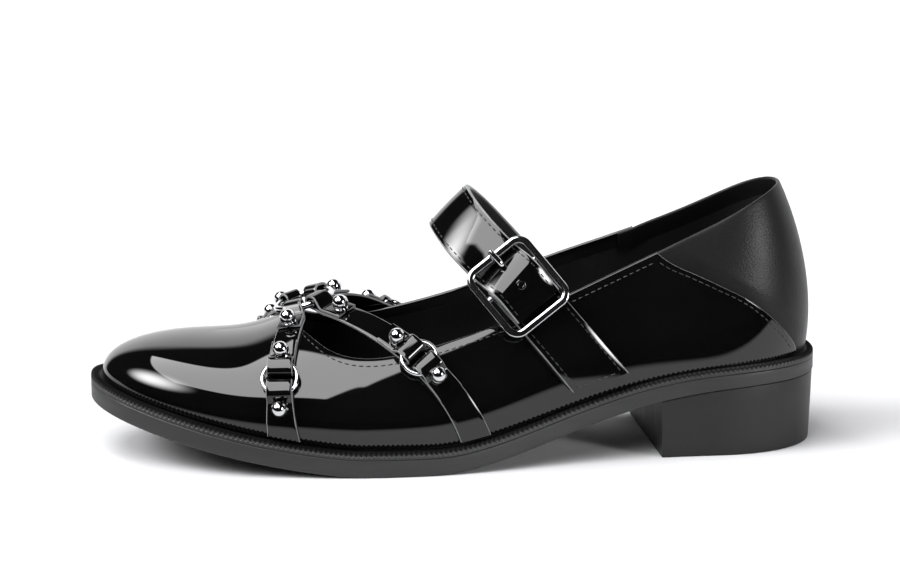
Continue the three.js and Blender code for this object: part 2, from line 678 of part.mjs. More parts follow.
/** One arm of the harness: upper strap, small ring, lower strap and three studs. */
function makeArm(row, side, add) {
  const sideName = side < 0 ? 'outer' : 'inner';
  const name = (piece) => `${row.arm}_${sideName}_${piece}`;
  const through = new THREE.Vector3(row.x, side * row.y, row.z);
  const normal = new THREE.Vector3(row.nx, side * row.ny, row.nz);
  const route = planeRoute(side, through, normal, 1, 0, HARNESS.clear);

  const bigCircle = (angle) => circlePoint(ringCentre, ringAlong, new THREE.Vector3(0, side, 0),
    BIG_RING.radius, angle);
  const [low, high] = row.arm === 'front' ? [Math.PI / 2, Math.PI] : [0, Math.PI / 2];
  const meet = crossing((angle) => -bigCircle(angle).sub(through).dot(normal), low, high, 40);
  const bigWire = bigCircle(meet);
  const big = route.locate(bigWire, 0, 30);
  const bigFrame = route.at(big.length);
  const bigSpan = wireSpan(bigWire, bigCircle, bigFrame);

  const smallAt = crossing((s) => row.ringHeight - route.at(s).point.z, 10, route.length, 80);
  const smallFrame = route.at(smallAt);
  const smallLift = HARNESS.ply + HARNESS.slack + SMALL_RING.wire + 0.2;
  const smallCentre = smallFrame.point.clone().addScaledVector(smallFrame.normal, smallLift);
  const smallCircle = (angle) => circlePoint(smallCentre, smallFrame.tangent, smallFrame.across,
    SMALL_RING.radius, angle);
  const upperWire = route.locate(smallCircle(Math.PI));
  const lowerWire = route.locate(smallCircle(0));
  const upperSpan = wireSpan(smallCircle(Math.PI), smallCircle, smallFrame);
  const lowerSpan = wireSpan(smallCircle(0), smallCircle, smallFrame);

  const tab = 10.2;
  const bigFold = fold(big, bigSpan, BIG_RING.wire, 1, 3.4);
  const upperFold = fold(upperWire, upperSpan, SMALL_RING.wire, -1, 2.4).reverse();
  const lowerFold = fold(lowerWire, lowerSpan, SMALL_RING.wire, 1, 2.4);
  const upperPath = [
    ...run(big.length + row.tab, bigFold[0][0] + 1.5, STACK, 3),
    ...bigFold,
    ...run(bigFold.at(-1)[0] + 3, upperFold[0][0] - 2, LAYER, 4),
    ...upperFold,
    ...run(upperFold.at(-1)[0] - 1.5, upperWire.length - tab, STACK, 3),
  ];
  const narrow = (s) => THREE.MathUtils.lerp(HARNESS.foldWidth, HARNESS.width,
    THREE.MathUtils.smoothstep(s, big.length - 3, big.length + 6));
  add(name('upper_strap'), ribbon(route, upperPath, HARNESS.ply, narrow), 'patent');

  const end = route.length - 1.1;
  const lowerPath = [
    ...run(lowerWire.length + tab, lowerFold[0][0] + 1.5, STACK, 3),
    ...lowerFold,
    ...run(lowerFold.at(-1)[0] + 3, end, LAYER, 4),
  ];
  const spread = (s) => THREE.MathUtils.mapLinear(Math.max(s, smallAt + 8), smallAt + 8, end,
    HARNESS.width, HARNESS.footWidth);
  const skew = feetSkew(route.at(end));
  add(name('lower_strap'), ribbon(route, lowerPath, HARNESS.ply, spread, skew), 'patent');
  add(name('ring'), ringShape(smallCentre, smallFrame.normal, SMALL_RING, 20, 6), 'metal');

  const studs = [
    ['upper', upperPath, big.length + row.upperStud],
    ['middle', upperPath, smallAt - row.middleStud],
    ['lower', lowerPath, smallAt + row.lowerStud],
  ];
  for (const [place, path, length] of studs) {
    const seat = topOf(path, length, STUD.foot) + LAYER + HARNESS.slack;
    add(name(`${place}_stud`), studShape(route.at(length), seat), 'metal');
  }
}

/** Highest centre line of a folded strap within a reach of a length. */
function topOf(path, length, reach) {
  let top = 0;
  for (const at of [length - reach, length, length + reach]) {
    for (let i = 0; i + 1 < path.length; i++) {
      const [[s0, h0], [s1, h1]] = [path[i], path[i + 1]];
      if ((s0 - at) * (s1 - at) > 0 || s0 === s1) continue;
      top = Math.max(top, THREE.MathUtils.mapLinear(at, s0, s1, h0, h1));
    }
  }
  return top;
}

// ---------------------------------------------------------------- instep strap and buckle
// Underside of the strap's middle on the outer side, from the top of the arch to the buckle,
// and how much nearer the heel the strap runs on the inner side.
const ARCH_ROWS = [
  { x: -1.4, y: 0.0, z: 86.9, innerShift: 0.0 },
  { x: 3.6, y: 18.2, z: 79.2, innerShift: 2.6 },
  { x: 19.0, y: 29.2, z: 63.2, innerShift: 2.0 },
];
const STRAP_PLANE = new THREE.Vector3(0.764, 0, 0.645).normalize();
const TOP_NORMAL = new THREE.Vector3(-0.712, 0, 0.702).normalize();
const JOIN_HEIGHT = 47;          // where the strap comes to lie on the quarter
const BUCKLE_HEIGHT = 63.2;
const END_HEIGHT = { outer: 29.5, inner: 31.5 };

/** Base of the strap on one side: an arch over the instep, then down the quarter. */
function strapRoute(side) {
  const place = ({ x, y, z, innerShift }, way) => new THREE.Vector3(x, way * y, z)
    .addScaledVector(STRAP_PLANE, way > 0 ? innerShift : 0);
  const rows = ARCH_ROWS.map((row) => place(row, side));
  const quarter = planeRoute(side, rows.at(-1), STRAP_PLANE, 0.62, 0, STRAP.clear);
  const join = quarter.points.findIndex((p) => p.z < JOIN_HEIGHT);
  const before = place(ARCH_ROWS[1], -side);
  const after = [quarter.points[join], quarter.points[join + 6]];
  const arch = new THREE.CatmullRomCurve3([before, ...rows, ...after]);
  const count = 40;
  const points = Array.from({ length: count + 1 }, (_, i) => arch.getPoint((1 + 3 * (i / count)) / 5));
  const normals = points.map((_, i) => {
    const blend = THREE.MathUtils.smoothstep(i, 4, 30);
    const tangent = points[Math.min(i + 1, count)].clone().sub(points[Math.max(i - 1, 0)]);
    const across = new THREE.Vector3().crossVectors(TOP_NORMAL, new THREE.Vector3(0, -1, 0))
      .lerp(STRAP_PLANE, blend);
    const level = new THREE.Vector3().crossVectors(tangent, across).multiplyScalar(-side).normalize();
    return i === 0 ? TOP_NORMAL.clone() : level.lerp(quarter.normals[join], blend).normalize();
  });
  return new Route([...points.slice(0, -1), ...quarter.points.slice(join)],
    [...normals.slice(0, -1), ...quarter.normals.slice(join)]);
}

const buckleLength = (route) => crossing((s) => BUCKLE_HEIGHT - route.at(s).point.z, 5, 80, 80)
  - BUCKLE.barShift;
const endLength = (route, height) => crossing((s) => height - route.at(s).point.z, 30, route.length, 80);

/** Long strap: stitched to the inner quarter, over the instep and through the buckle. */
function makeInstepStrap(inner, outer) {
  const end = endLength(inner, END_HEIGHT.inner);
  const buckle = buckleLength(outer);
  const middle = STRAP.thickness / 2;
  const innerPart = run(end, 0, middle, 5);
  const overBar = [[-8.0, 1.2], [-5.0, 3.8], [-2.4, 6.2], [0, 6.9], [2.5, 6.7], [5.5, 5.6], [9.5, 4.4],
    [13.2, 4.0]];
  const outerPart = [...run(5, buckle - 12, middle, 4.5),
    ...overBar.map(([along, height]) => [buckle + along, height])];
  const skinned = (route, path) => path.map(([s, h]) => {
    const frame = route.at(s);
    return { ...frame, centre: frame.point.clone().addScaledVector(frame.normal, h) };
  });
  const frames = [...skinned(inner, innerPart), ...skinned(outer, outerPart)];
  const joined = new Route(frames.map((f) => f.centre), frames.map((f) => f.normal));
  const stationsAlong = joined.lengths.map((length) => [length, 0]);
  return ribbon(joined, stationsAlong, STRAP.thickness, () => STRAP.width);
}

/** Short strap: doubled round the buckle's centre bar and stitched to the outer quarter. */
function makeBuckleStrap(outer) {
  const bar = buckleLength(outer);
  const end = endLength(outer, END_HEIGHT.outer);
  const layer = STRAP.ply / 2;
  const stack = layer + STRAP.ply + GAP;
  const around = BUCKLE.centreBar + HARNESS.slack + layer;
  const skew = feetSkew(outer.at(end));
  const path = [
    ...run(end, bar + 6, stack, 5),
    [bar + 1.2, layer + 2 * around],
    ...bend(bar, layer + around, around, 90, 270),
    ...run(bar + 3, end, layer, 5),
  ];
  return ribbon(outer, path, STRAP.ply, () => STRAP.width, skew);
}

function roundedSquare(width, height, corner) {
  const shape = new THREE.Shape();
  const [w, h] = [width / 2 - corner, height / 2 - corner];
  shape.absarc(w, h, corner, 0, Math.PI / 2);
  shape.absarc(-w, h, corner, Math.PI / 2, Math.PI);
  shape.absarc(-w, -h, corner, Math.PI, Math.PI * 1.5);
  shape.absarc(w, -h, corner, Math.PI * 1.5, Math.PI * 2);
  return shape;
}

/** Where the centre bar lies inside its fold. */
function barSeat(outer) {
  const frame = outer.at(buckleLength(outer));
  const height = STRAP.ply + BUCKLE.centreBar + HARNESS.slack;
  return { ...frame, centre: frame.point.clone().addScaledVector(frame.normal, height) };
}

/** Frame of axes for the buckle: x across the strap, y up it, z out from the shoe. */
function buckleMatrix(outer) {
  const { centre, normal } = barSeat(outer);
  const middle = buckleLength(outer) + BUCKLE.barShift;
  const reach = BUCKLE.length / 2 - BUCKLE.bar;
  const up = outer.at(middle - reach).point.sub(outer.at(middle + reach).point).normalize();
  const across = new THREE.Vector3().crossVectors(up, normal).normalize();
  const out = new THREE.Vector3().crossVectors(across, up);
  return new THREE.Matrix4().makeBasis(across, up, out).setPosition(centre);
}

/** Buckle frame with its centre bar, which sits lower than the frame. */
function makeBuckle(matrix, outer) {
  const { width, length, bar, depth, corner, centreBar } = BUCKLE;
  const outline2d = roundedSquare(width, length, corner);
  outline2d.holes.push(roundedSquare(width - 2 * bar, length - 2 * bar, corner - bar));
  const frame = new THREE.ExtrudeGeometry(outline2d, { depth, bevelEnabled: false, curveSegments: 5 });
  frame.rotateZ(THREE.MathUtils.degToRad(BUCKLE.turn));
  frame.translate(-BUCKLE.sideShift, -BUCKLE.barShift, BUCKLE.rise);
  frame.applyMatrix4(matrix);
  const seat = barSeat(outer);
  const rod = new THREE.CylinderGeometry(centreBar, centreBar, width - 2 * bar + 2.4, 10);
  rod.applyQuaternion(new THREE.Quaternion().setFromUnitVectors(new THREE.Vector3(0, 1, 0), seat.across));
  rod.translate(seat.centre.x, seat.centre.y, seat.centre.z);
  return fromSolid(toSolid(frame).add(toSolid(rod)));
}

/** Round bar along the prong's path: from the centre bar, through the strap, onto the frame. */
function prongBar(matrix, radius) {
  const { length, rise, depth, bar, barShift } = BUCKLE;
  const top = rise + depth + GAP + PRONG;
  const edge = length / 2 - barShift;
  const path = new THREE.CatmullRomCurve3([
    new THREE.Vector3(0, 3.2, 0.2),
    new THREE.Vector3(0, 4.8, 2.1),
    new THREE.Vector3(0, 6.6, top - 0.3),
    new THREE.Vector3(0, edge - bar / 2, top + 0.1),
    new THREE.Vector3(0, edge + 0.9, top),
  ]);
  const section = new THREE.Shape();
  section.absarc(0, 0, radius, 0, Math.PI * 2);
  const shape = new THREE.ExtrudeGeometry(section, { steps: 10, extrudePath: path, curveSegments: 4 });
  return shape.applyMatrix4(matrix);
}

// ---------------------------------------------------------------- group
const COLOURS = {
  patent: { color: 0x0b0b0c, roughness: 0.12, metalness: 0 },
  rubber: { color: 0x3c3c3e, roughness: 0.75, metalness: 0 },
  welt: { color: 0x1a1a1b, roughness: 0.7, metalness: 0 },
  heel: { color: 0x2f2f31, roughness: 0.7, metalness: 0 },
  lining: { color: 0x1c1c1d, roughness: 0.8, metalness: 0 },
  metal: { color: 0xd4d6d8, roughness: 0.12, metalness: 1 },
};

const shoe = new THREE.Group();
function add(name, shape, finish) {
  const mesh = new THREE.Mesh(shape, new THREE.MeshStandardMaterial(COLOURS[finish]));
  mesh.name = name;
  shoe.add(mesh);
  return mesh;
}

add('outsole', makeOutsole(), 'rubber');
add('welt', makeWelt(), 'welt');
add('heel', makeHeel(), 'heel');
add('insole', makeInsole(), 'lining');
add('upper', makeUpper(), 'patent');

add('big_ring', ringShape(ringCentre, ringNormal, BIG_RING, 28, 6), 'metal');
for (const row of ARM_ROWS) {
  for (const side of [-1, 1]) makeArm(row, side, add);
}

const outerRoute = strapRoute(-1);
const innerRoute = strapRoute(1);
const atBuckle = buckleMatrix(outerRoute);
const prongHole = toSolid(prongBar(atBuckle, PRONG + 0.35));
const punched = toSolid(makeInstepStrap(innerRoute, outerRoute)).subtract(prongHole);
add('instep_strap', fromSolid(punched), 'patent');
add('buckle_strap', makeBuckleStrap(outerRoute), 'patent');
add('buckle', makeBuckle(atBuckle, outerRoute), 'metal');
add('prong', prongBar(atBuckle, PRONG), 'metal');

shoe.position.y = 0.5;           // centres the bounding box on the origin

export default shoe;
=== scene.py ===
"""Mary jane shoe, left foot, put together as a shoemaker does: sole, welt, heel and footbed,
then the upper over its last, the vamp harness with its rings and studs, and last the instep
strap with its buckle. Shapes are worked out in millimetres and stored in metres."""

import json
import math

import bmesh
import bpy
import numpy as np
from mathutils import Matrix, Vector

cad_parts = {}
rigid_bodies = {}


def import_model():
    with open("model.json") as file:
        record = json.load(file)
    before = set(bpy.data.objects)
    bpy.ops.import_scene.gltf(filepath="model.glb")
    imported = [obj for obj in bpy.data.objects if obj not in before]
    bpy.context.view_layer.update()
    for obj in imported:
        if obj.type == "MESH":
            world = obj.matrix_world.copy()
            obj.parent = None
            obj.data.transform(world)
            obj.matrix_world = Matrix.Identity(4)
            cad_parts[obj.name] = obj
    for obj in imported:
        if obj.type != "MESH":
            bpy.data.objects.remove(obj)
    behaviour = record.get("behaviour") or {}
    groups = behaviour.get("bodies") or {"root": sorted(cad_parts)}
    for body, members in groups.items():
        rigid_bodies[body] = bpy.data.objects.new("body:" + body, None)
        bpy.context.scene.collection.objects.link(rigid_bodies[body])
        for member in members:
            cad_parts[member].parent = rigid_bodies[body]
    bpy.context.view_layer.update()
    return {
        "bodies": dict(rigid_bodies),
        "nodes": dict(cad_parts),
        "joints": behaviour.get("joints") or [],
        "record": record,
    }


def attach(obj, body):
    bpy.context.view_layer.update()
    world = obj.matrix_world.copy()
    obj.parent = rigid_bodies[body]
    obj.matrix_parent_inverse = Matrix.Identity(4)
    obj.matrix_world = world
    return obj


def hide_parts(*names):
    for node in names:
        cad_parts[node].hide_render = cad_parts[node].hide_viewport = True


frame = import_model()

# -------- camera, light and floor
# The shoe stands on a plain pale floor and is seen almost level from its outer side. Its
# studio is a world of light by direction: a long softbox over the outer side, a white wall
# behind, and soft lamps off the toe and off the heel.

AIM = Vector((-0.0019, 0.0005, 0.0573))
CAMERA_TURN, CAMERA_RISE, CAMERA_DISTANCE = math.radians(-6.8), math.radians(11.8), 1.1

scene = bpy.context.scene
lens = bpy.data.cameras.new("camera")
lens.sensor_width, lens.lens = 36.0, 120.34
lens.clip_start, lens.clip_end = 0.05, 50.0
camera = bpy.data.objects.new("camera", lens)
back_off = Vector((math.sin(CAMERA_TURN) * math.cos(CAMERA_RISE),
    -math.cos(CAMERA_TURN) * math.cos(CAMERA_RISE), math.sin(CAMERA_RISE)))
camera.location = AIM + CAMERA_DISTANCE * back_off
camera.rotation_euler = (-back_off).to_track_quat("-Z", "Y").to_euler()
scene.collection.objects.link(camera)
scene.camera = camera
scene.view_settings.view_transform = "Standard"


def add_node(tree, kind, feeds=None, **settings):
    """One shader node: settings are its own properties, feeds its sockets, each a value or
    another node's output."""
    made = tree.nodes.new("ShaderNode" + kind)
    for key, value in settings.items():
        setattr(made, key, value)
    for key, value in (feeds or {}).items():
        if isinstance(value, bpy.types.NodeSocket):
            tree.links.new(value, made.inputs[key])
        else:
            made.inputs[key].default_value = value
    return made


world = bpy.data.worlds.new("studio")
world.use_nodes = True
world.node_tree.nodes.clear()
scene.world = world
tree = world.node_tree
way = add_node(tree, "TexCoord").outputs["Generated"]


def soft_step(tree, value, start, stop, low=0.0, high=1.0):
    """Smooth change from low to high as a value goes from start to stop."""
    return add_node(tree, "MapRange", {"Value": value, "From Min": start, "From Max": stop,
        "To Min": low, "To Max": high}, interpolation_type="SMOOTHSTEP").outputs[0]


def times(*values):
    """Product of the values."""
    total = values[0]
    for value in values[1:]:
        total = add_node(tree, "Math", {0: total, 1: value},
            operation="MULTIPLY").outputs[0]
    return total


def beyond(plane, start, stop):
    """Soft step over a plane through the shoe: 0 where the way's share of the plane's
    normal is under start, 1 over stop."""
    share = add_node(tree, "VectorMath", {0: way, 1: plane},
        operation="DOT_PRODUCT").outputs["Value"]
    return soft_step(tree, share, start, stop)


def lamp(centre, spread, power):
    """Round soft lamp: fades from its centre to nothing over an ellipsoid of ways."""
    away = add_node(tree, "VectorMath", {0: way, 1: centre}, operation="SUBTRACT")
    away = add_node(tree, "VectorMath", {0: away.outputs[0], 1: spread},
        operation="DIVIDE")
    run = add_node(tree, "VectorMath", {0: away.outputs[0]}, operation="LENGTH")
    return soft_step(tree, run.outputs["Value"], 0.1, 1.0, power, 0.0)


softbox = times(beyond((-0.845, -0.28, -0.165), -0.02, -0.005),
    beyond((0.394, 0.197, 0.414), -0.005, 0.01), beyond((0.696, -0.244, 0.5415), 0.05, 0.065),
    beyond((-1.0, 0.0, 0.5), 0.395, 0.415), 6.4)
height = add_node(tree, "SeparateXYZ", {0: way}).outputs["Z"]
wall_power = add_node(tree, "MapRange", {"Value": height, "From Max": 0.6,
    "To Min": 1.15, "To Max": 1.5}).outputs[0]
wall = times(beyond((0.408, 0.256, -0.166), -0.04, 0.06), beyond((0.0, 0.0, -1.0), -0.76, -0.66),
    beyond((0.0, 1.0, 0.0), 0.0, 0.25), wall_power)
glow = 0.012
for light in (softbox, wall, lamp((-0.74, -0.17, 0.62), (0.3, 0.5, 0.36), 20.0),
        lamp((0.67, -0.7, 0.26), (0.2, 0.2, 0.26), 32.0)):
    glow = add_node(tree, "Math", {0: light, 1: glow}, operation="ADD").outputs[0]
seen = add_node(tree, "LightPath").outputs["Is Camera Ray"]
glow = add_node(tree, "Mix", {0: seen, 2: glow, 3: 1.0}).outputs[0]
sky = add_node(tree, "Background", {"Color": (1, 1, 1, 1), "Strength": glow})
add_node(tree, "OutputWorld", {"Surface": sky.outputs[0]})


def new_group(name, inputs, outputs):
    """Empty shader node group with named inputs, each with a starting value, and outputs."""
    group = bpy.data.node_groups.new(name, "ShaderNodeTree")
    for title, kind, value in inputs:
        socket = group.interface.new_socket(title, in_out="INPUT", socket_type=kind)
        if value is not None:
            socket.default_value = value
    for title in outputs:
        group.interface.new_socket(title, in_out="OUTPUT", socket_type="NodeSocketFloat")
    start = group.nodes.new("NodeGroupInput")
    end = group.nodes.new("NodeGroupOutput")
    return group, start.outputs, end.inputs


# Slow change over a surface, for tone and gloss: soft noise spread between two values.
drift, given, result = new_group("drift", [("Vector", "NodeSocketVector", None),
    ("Scale", "NodeSocketFloat", 20.0), ("Low", "NodeSocketFloat", 0.0),
    ("High", "NodeSocketFloat", 1.0)], ["Value"])
noise = add_node(drift, "TexNoise", {"Vector": given["Vector"], "Scale": given["Scale"],
    "Detail": 4.0, "Roughness": 0.6})
spread = add_node(drift, "MapRange", {"Value": noise.outputs[0], "From Min": 0.3,
    "From Max": 0.7, "To Min": given["Low"], "To Max": given["High"]})
drift.links.new(spread.outputs[0], result["Value"])

# Grain of a surface: rounded cells with finer noise between them, as a height.
grain, given, result = new_group("grain", [("Vector", "NodeSocketVector", None),
    ("Scale", "NodeSocketFloat", 900.0), ("Cells", "NodeSocketFloat", 0.6)], ["Height"])
cells = add_node(grain, "TexVoronoi", {"Vector": given["Vector"],
    "Scale": given["Scale"]}, feature="SMOOTH_F1")
fine = add_node(grain, "TexNoise", {"Vector": given["Vector"],
    "Scale": given["Scale"], "Detail": 3.0})
height = add_node(grain, "Mix", {0: given["Cells"], 2: fine.outputs[0],
    3: cells.outputs["Distance"]})
grain.links.new(height.outputs[0], result["Height"])


def use_group(tree, group, vector, **values):
    """A node group placed in a material with its own values."""
    made = tree.nodes.new("ShaderNodeGroup")
    made.node_tree = group
    tree.links.new(vector, made.inputs["Vector"])
    for key, value in values.items():
        made.inputs[key].default_value = value
    return made.outputs[0]


def make_finish(name, dark, light, gloss, bumps, tone_scale=25.0, stretch=(1.0, 1.0, 1.0),
                **fixed):
    """A Principled finish. Tone drifts from a dark to a light grey, a shade to the blue,
    roughness over the gloss range, and each bump is (scale, share of cells, depth in
    millimetres)."""
    material = bpy.data.materials.new(name)
    material.use_nodes = True
    tree = material.node_tree
    skin = tree.nodes["Principled BSDF"]
    place = add_node(tree, "TexCoord").outputs["Object"]
    place = add_node(tree, "Mapping", {"Vector": place, "Scale": stretch}).outputs[0]
    share = use_group(tree, drift, place, Scale=tone_scale)
    low, high = ((level, level, level * 1.02, 1) for level in (dark, light))
    tone = add_node(tree, "Mix", {"Factor": share, 6: low, 7: high}, data_type="RGBA")
    tree.links.new(tone.outputs[2], skin.inputs["Base Color"])
    rough = use_group(tree, drift, place, Scale=tone_scale * 1.7, Low=gloss[0], High=gloss[1])
    tree.links.new(rough, skin.inputs["Roughness"])
    normal = None
    for scale, share_of_cells, depth in bumps:
        height = use_group(tree, grain, place, Scale=scale, Cells=share_of_cells)
        feeds = {"Height": height, "Strength": 1.0, "Distance": depth / 1000}
        if normal is not None:
            feeds["Normal"] = normal
        normal = add_node(tree, "Bump", feeds).outputs[0]
    tree.links.new(normal, skin.inputs["Normal"])
    for key, value in fixed.items():
        skin.inputs[key.replace("_", " ").title().replace("Ior", "IOR")].default_value = value
    return material


floor_mesh = bpy.data.meshes.new("floor")
floor_mesh.from_pydata([(-9, -9, 0), (9, -9, 0), (9, 9, 0), (-9, 9, 0)], [], [(0, 1, 2, 3)])
floor = bpy.data.objects.new("floor", floor_mesh)
scene.collection.objects.link(floor)
pale_floor = make_finish("pale_floor", 0.60, 0.62, (0.7, 0.8),
    [(400.0, 0.0, 0.01)], tone_scale=3.0, specular_ior_level=0.0)
floor_mesh.materials.append(pale_floor)

# Seen in the gloss of the shoe, the floor ends a hand's breadth in front of it.
tree = pale_floor.node_tree
skin = tree.nodes["Principled BSDF"]
place = add_node(tree, "TexCoord").outputs["Object"]
reach = add_node(tree, "VectorMath", {0: place, 1: (0.3, 1.0, 0.0)},
    operation="DOT_PRODUCT").outputs["Value"]
lit = soft_step(tree, reach, -0.163, -0.113)
gloss = add_node(tree, "LightPath").outputs["Is Glossy Ray"]
share = add_node(tree, "Mix", {0: gloss, 2: 1.0, 3: lit}).outputs[0]
tone = skin.inputs["Base Color"].links[0].from_socket
shaded = add_node(tree, "Mix", {0: share, 6: (0, 0, 0, 1), 7: tone}, data_type="RGBA")
tree.links.new(shaded.outputs[2], skin.inputs["Base Color"])

# -------- outsole
# A moulded rubber sole, 6.5 mm thick: flat under the ball, turned up at the toe and rising
# over the arch to the heel seat. Its plan and thickness follow a table of sections.

TOE_TIP, HEEL_TIP = -133.0, 133.0
SHIFT = 0.5                      # centres the finished shoe across the foot
GAP = 0.3                        # clearance between neighbouring pieces
TREAD_FRONT, TREAD_BACK, TOE_LIFT, SEAT_LIFT = -38.0, -14.0, 19.3, 26.0


def table(columns, *rows):
    """Rows of numbers as named columns."""
    return dict(zip(columns.split(), np.array(rows, float).T))


def curve(xs, ys):
    """Natural cubic spline through points in order of x, level past its ends."""
    step = np.diff(xs)
    system = np.eye(len(xs))
    pull = np.zeros(len(xs))
    inner = np.arange(1, len(xs) - 1)
    system[inner, inner - 1] = step[:-1]
    system[inner, inner] = 2 * (step[:-1] + step[1:])
    system[inner, inner + 1] = step[1:]
    pull[1:-1] = 6 * np.diff(np.diff(ys) / step)
    bend = np.linalg.solve(system, pull)

    def value(x):
        i = np.clip(np.searchsorted(xs, x) - 1, 0, len(xs) - 2)
        b = np.clip((x - xs[i]) / step[i], 0, 1)
        a = 1 - b
        cubic = ((a ** 3 - a) * bend[i] + (b ** 3 - b) * bend[i + 1]) * step[i] ** 2 / 6
        return a * ys[i] + b * ys[i + 1] + cubic
    return value


def curves(rows):
    """A spline through each column of a table against its first, x."""
    xs, *columns = rows.values()
    return [curve(xs, ys) for ys in columns]


SOLE = table("x centre half rubber ledge",
    (-133, 6.1, 43.0, 6.5, 4.2), (-110, 5.6, 45.0, 6.7, 4.5), (-90, 4.1, 46.8, 6.6, 4.8),
    (-70, 2.1, 48.3, 6.5, 4.8), (-50, 0.3, 49.4, 6.5, 4.6), (-30, -1.3, 49.2, 6.5, 4.4),
    (-10, -2.5, 47.2, 6.5, 4.1), (10, -3.1, 43.2, 6.5, 3.8), (30, -2.9, 38.8, 6.4, 3.4),
    (50, -2.3, 35.6, 6.2, 3.2), (70, -1.7, 34.2, 5.9, 3.0), (95, -1.2, 34.2, 5.5, 2.9),
    (133, -0.9, 33.0, 5.2, 2.8))
sole_centre, sole_half, rubber, ledge = curves(SOLE)


def tread_height(x):
    """Tread line: a power of the run to the toe in front, an easing S to the seat behind."""
    toe = TOE_LIFT * (np.maximum(TREAD_FRONT - x, 0) / (TREAD_FRONT - TOE_TIP)) ** 1.45
    along = np.clip((x - TREAD_BACK) / (HEEL_TIP - TREAD_BACK), 0, 1)
    return toe + SEAT_LIFT * (1 - (1 - along) ** 3.1 * (1 + 3.1 * along))


def sole_top(x):
    """Height of the sole's upper face."""
    return tread_height(x) + rubber(x)


class Plan:
    """Outline of the sole from above, drawn in by an inset, and by the ledge of the welt
    where that is asked for: half widths rounded off as superellipses at toe and heel."""

    def __init__(self, inset=0.0, inside_ledge=False):
        self.inset, self.inside = inset, inside_ledge
        self.start = TOE_TIP + self.drawn(TOE_TIP)
        self.end = HEEL_TIP - self.drawn(HEEL_TIP)

    def drawn(self, x):
        return self.inset + (ledge(x) if self.inside else 0.0)

    def half(self, x):
        def rounded(run, length):
            rest = 1 - np.clip(run / (length - self.inset), 0, 1)
            return (1 - rest ** 2.2) ** (1 / 2.2)
        return ((sole_half(x) - self.drawn(x)) * rounded(x - self.start, 60.0)
                * rounded(self.end - x, 40.0))

    def edge(self, x, side):
        return sole_centre(x) + side * self.half(x)

    def ring(self, turns):
        """Points round the outline: turn 0 is the toe, pi the heel, and the outer side
        comes first."""
        x = self.start + (self.end - self.start) * (1 - np.cos(turns)) / 2
        side = np.where(np.sin(turns) < 0, 1.0, -1.0)
        return np.stack([x, self.edge(x, side)], -1)


def even_turns(plan, count):
    """Turns round an outline that are evenly spaced along its edge."""
    fine = np.linspace(0, 2 * np.pi, 6001)
    run = np.linalg.norm(np.diff(plan.ring(fine), axis=0), axis=1)
    return np.interp(np.linspace(0, 1, count + 1), np.r_[0, np.cumsum(run)] / run.sum(), fine)


def make_piece(name, nodes, skins, finishes, sharp=50.0):
    """A piece of the shoe from skins, joined where their edges meet. A skin is a grid of
    points whose faces look along (next row) x (next column), with a finish number for each
    of its columns. Every piece rides on the one body and may stand for CAD nodes."""
    points, faces, lengths, numbers = [], [], [], []
    count = 0
    for grid, finish in skins:
        rows, columns = grid.shape[:2]
        index = count + np.arange(rows * columns).reshape(rows, columns)
        quads = np.stack([index[:-1, :-1], index[1:, :-1], index[1:, 1:], index[:-1, 1:]], -1)
        faces.append(quads.reshape(-1, 4))
        numbers.append(np.broadcast_to(finish, (rows - 1, columns - 1)).ravel())
        points.append(grid.reshape(-1, 3))
        along = np.zeros((rows, columns, 2))
        along[1:, :, 0] = np.cumsum(np.linalg.norm(np.diff(grid, axis=0), axis=2), 0)
        along[:, 1:, 1] = np.cumsum(np.linalg.norm(np.diff(grid, axis=1), axis=2), 1)
        lengths.append(along.reshape(-1, 2))
        count += rows * columns
    points = (np.concatenate(points) + (0, SHIFT, 0)) / 1000
    faces, lengths = np.concatenate(faces), np.concatenate(lengths) / 1000
    mesh = bpy.data.meshes.new(name)
    mesh.from_pydata(points.tolist(), [], faces.tolist())
    mesh.uv_layers.new(name="along").data.foreach_set("uv", lengths[faces.ravel()].ravel())
    mesh.polygons.foreach_set("material_index", np.concatenate(numbers).astype(np.int32))
    for finish in finishes:
        mesh.materials.append(finish)
    shell = bmesh.new()
    shell.from_mesh(mesh)
    bmesh.ops.remove_doubles(shell, verts=shell.verts, dist=2e-6)
    shell.to_mesh(mesh)
    shell.free()
    mesh.polygons.foreach_set("use_smooth", np.ones(len(mesh.polygons), bool))
    mesh.set_sharp_from_angle(angle=math.radians(sharp))
    piece = bpy.data.objects.new(name, mesh)
    scene.collection.objects.link(piece)
    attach(piece, "root")
    if nodes:
        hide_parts(*nodes)


def stack(turns, layers, inside_ledge=False):
    """Wall round an outline: each layer is (inset, height over the tread, share of rubber)."""
    rows = []
    for inset, lift, share in layers:
        flat = Plan(inset, inside_ledge).ring(turns)
        z = tread_height(flat[:, 0]) + share * rubber(flat[:, 0]) + lift
        rows.append(np.column_stack([flat, z]))
    return np.array(rows)


def across(ring, count):
    """Face spanning a ring from its outer side to its inner side, row by row."""
    half = len(ring) // 2
    outer, inner = ring[:half + 1], ring[::-1][:half + 1]
    share = np.linspace(0, 1, count)[None, :, None]
    return outer[:, None] * (1 - share) + inner[:, None] * share


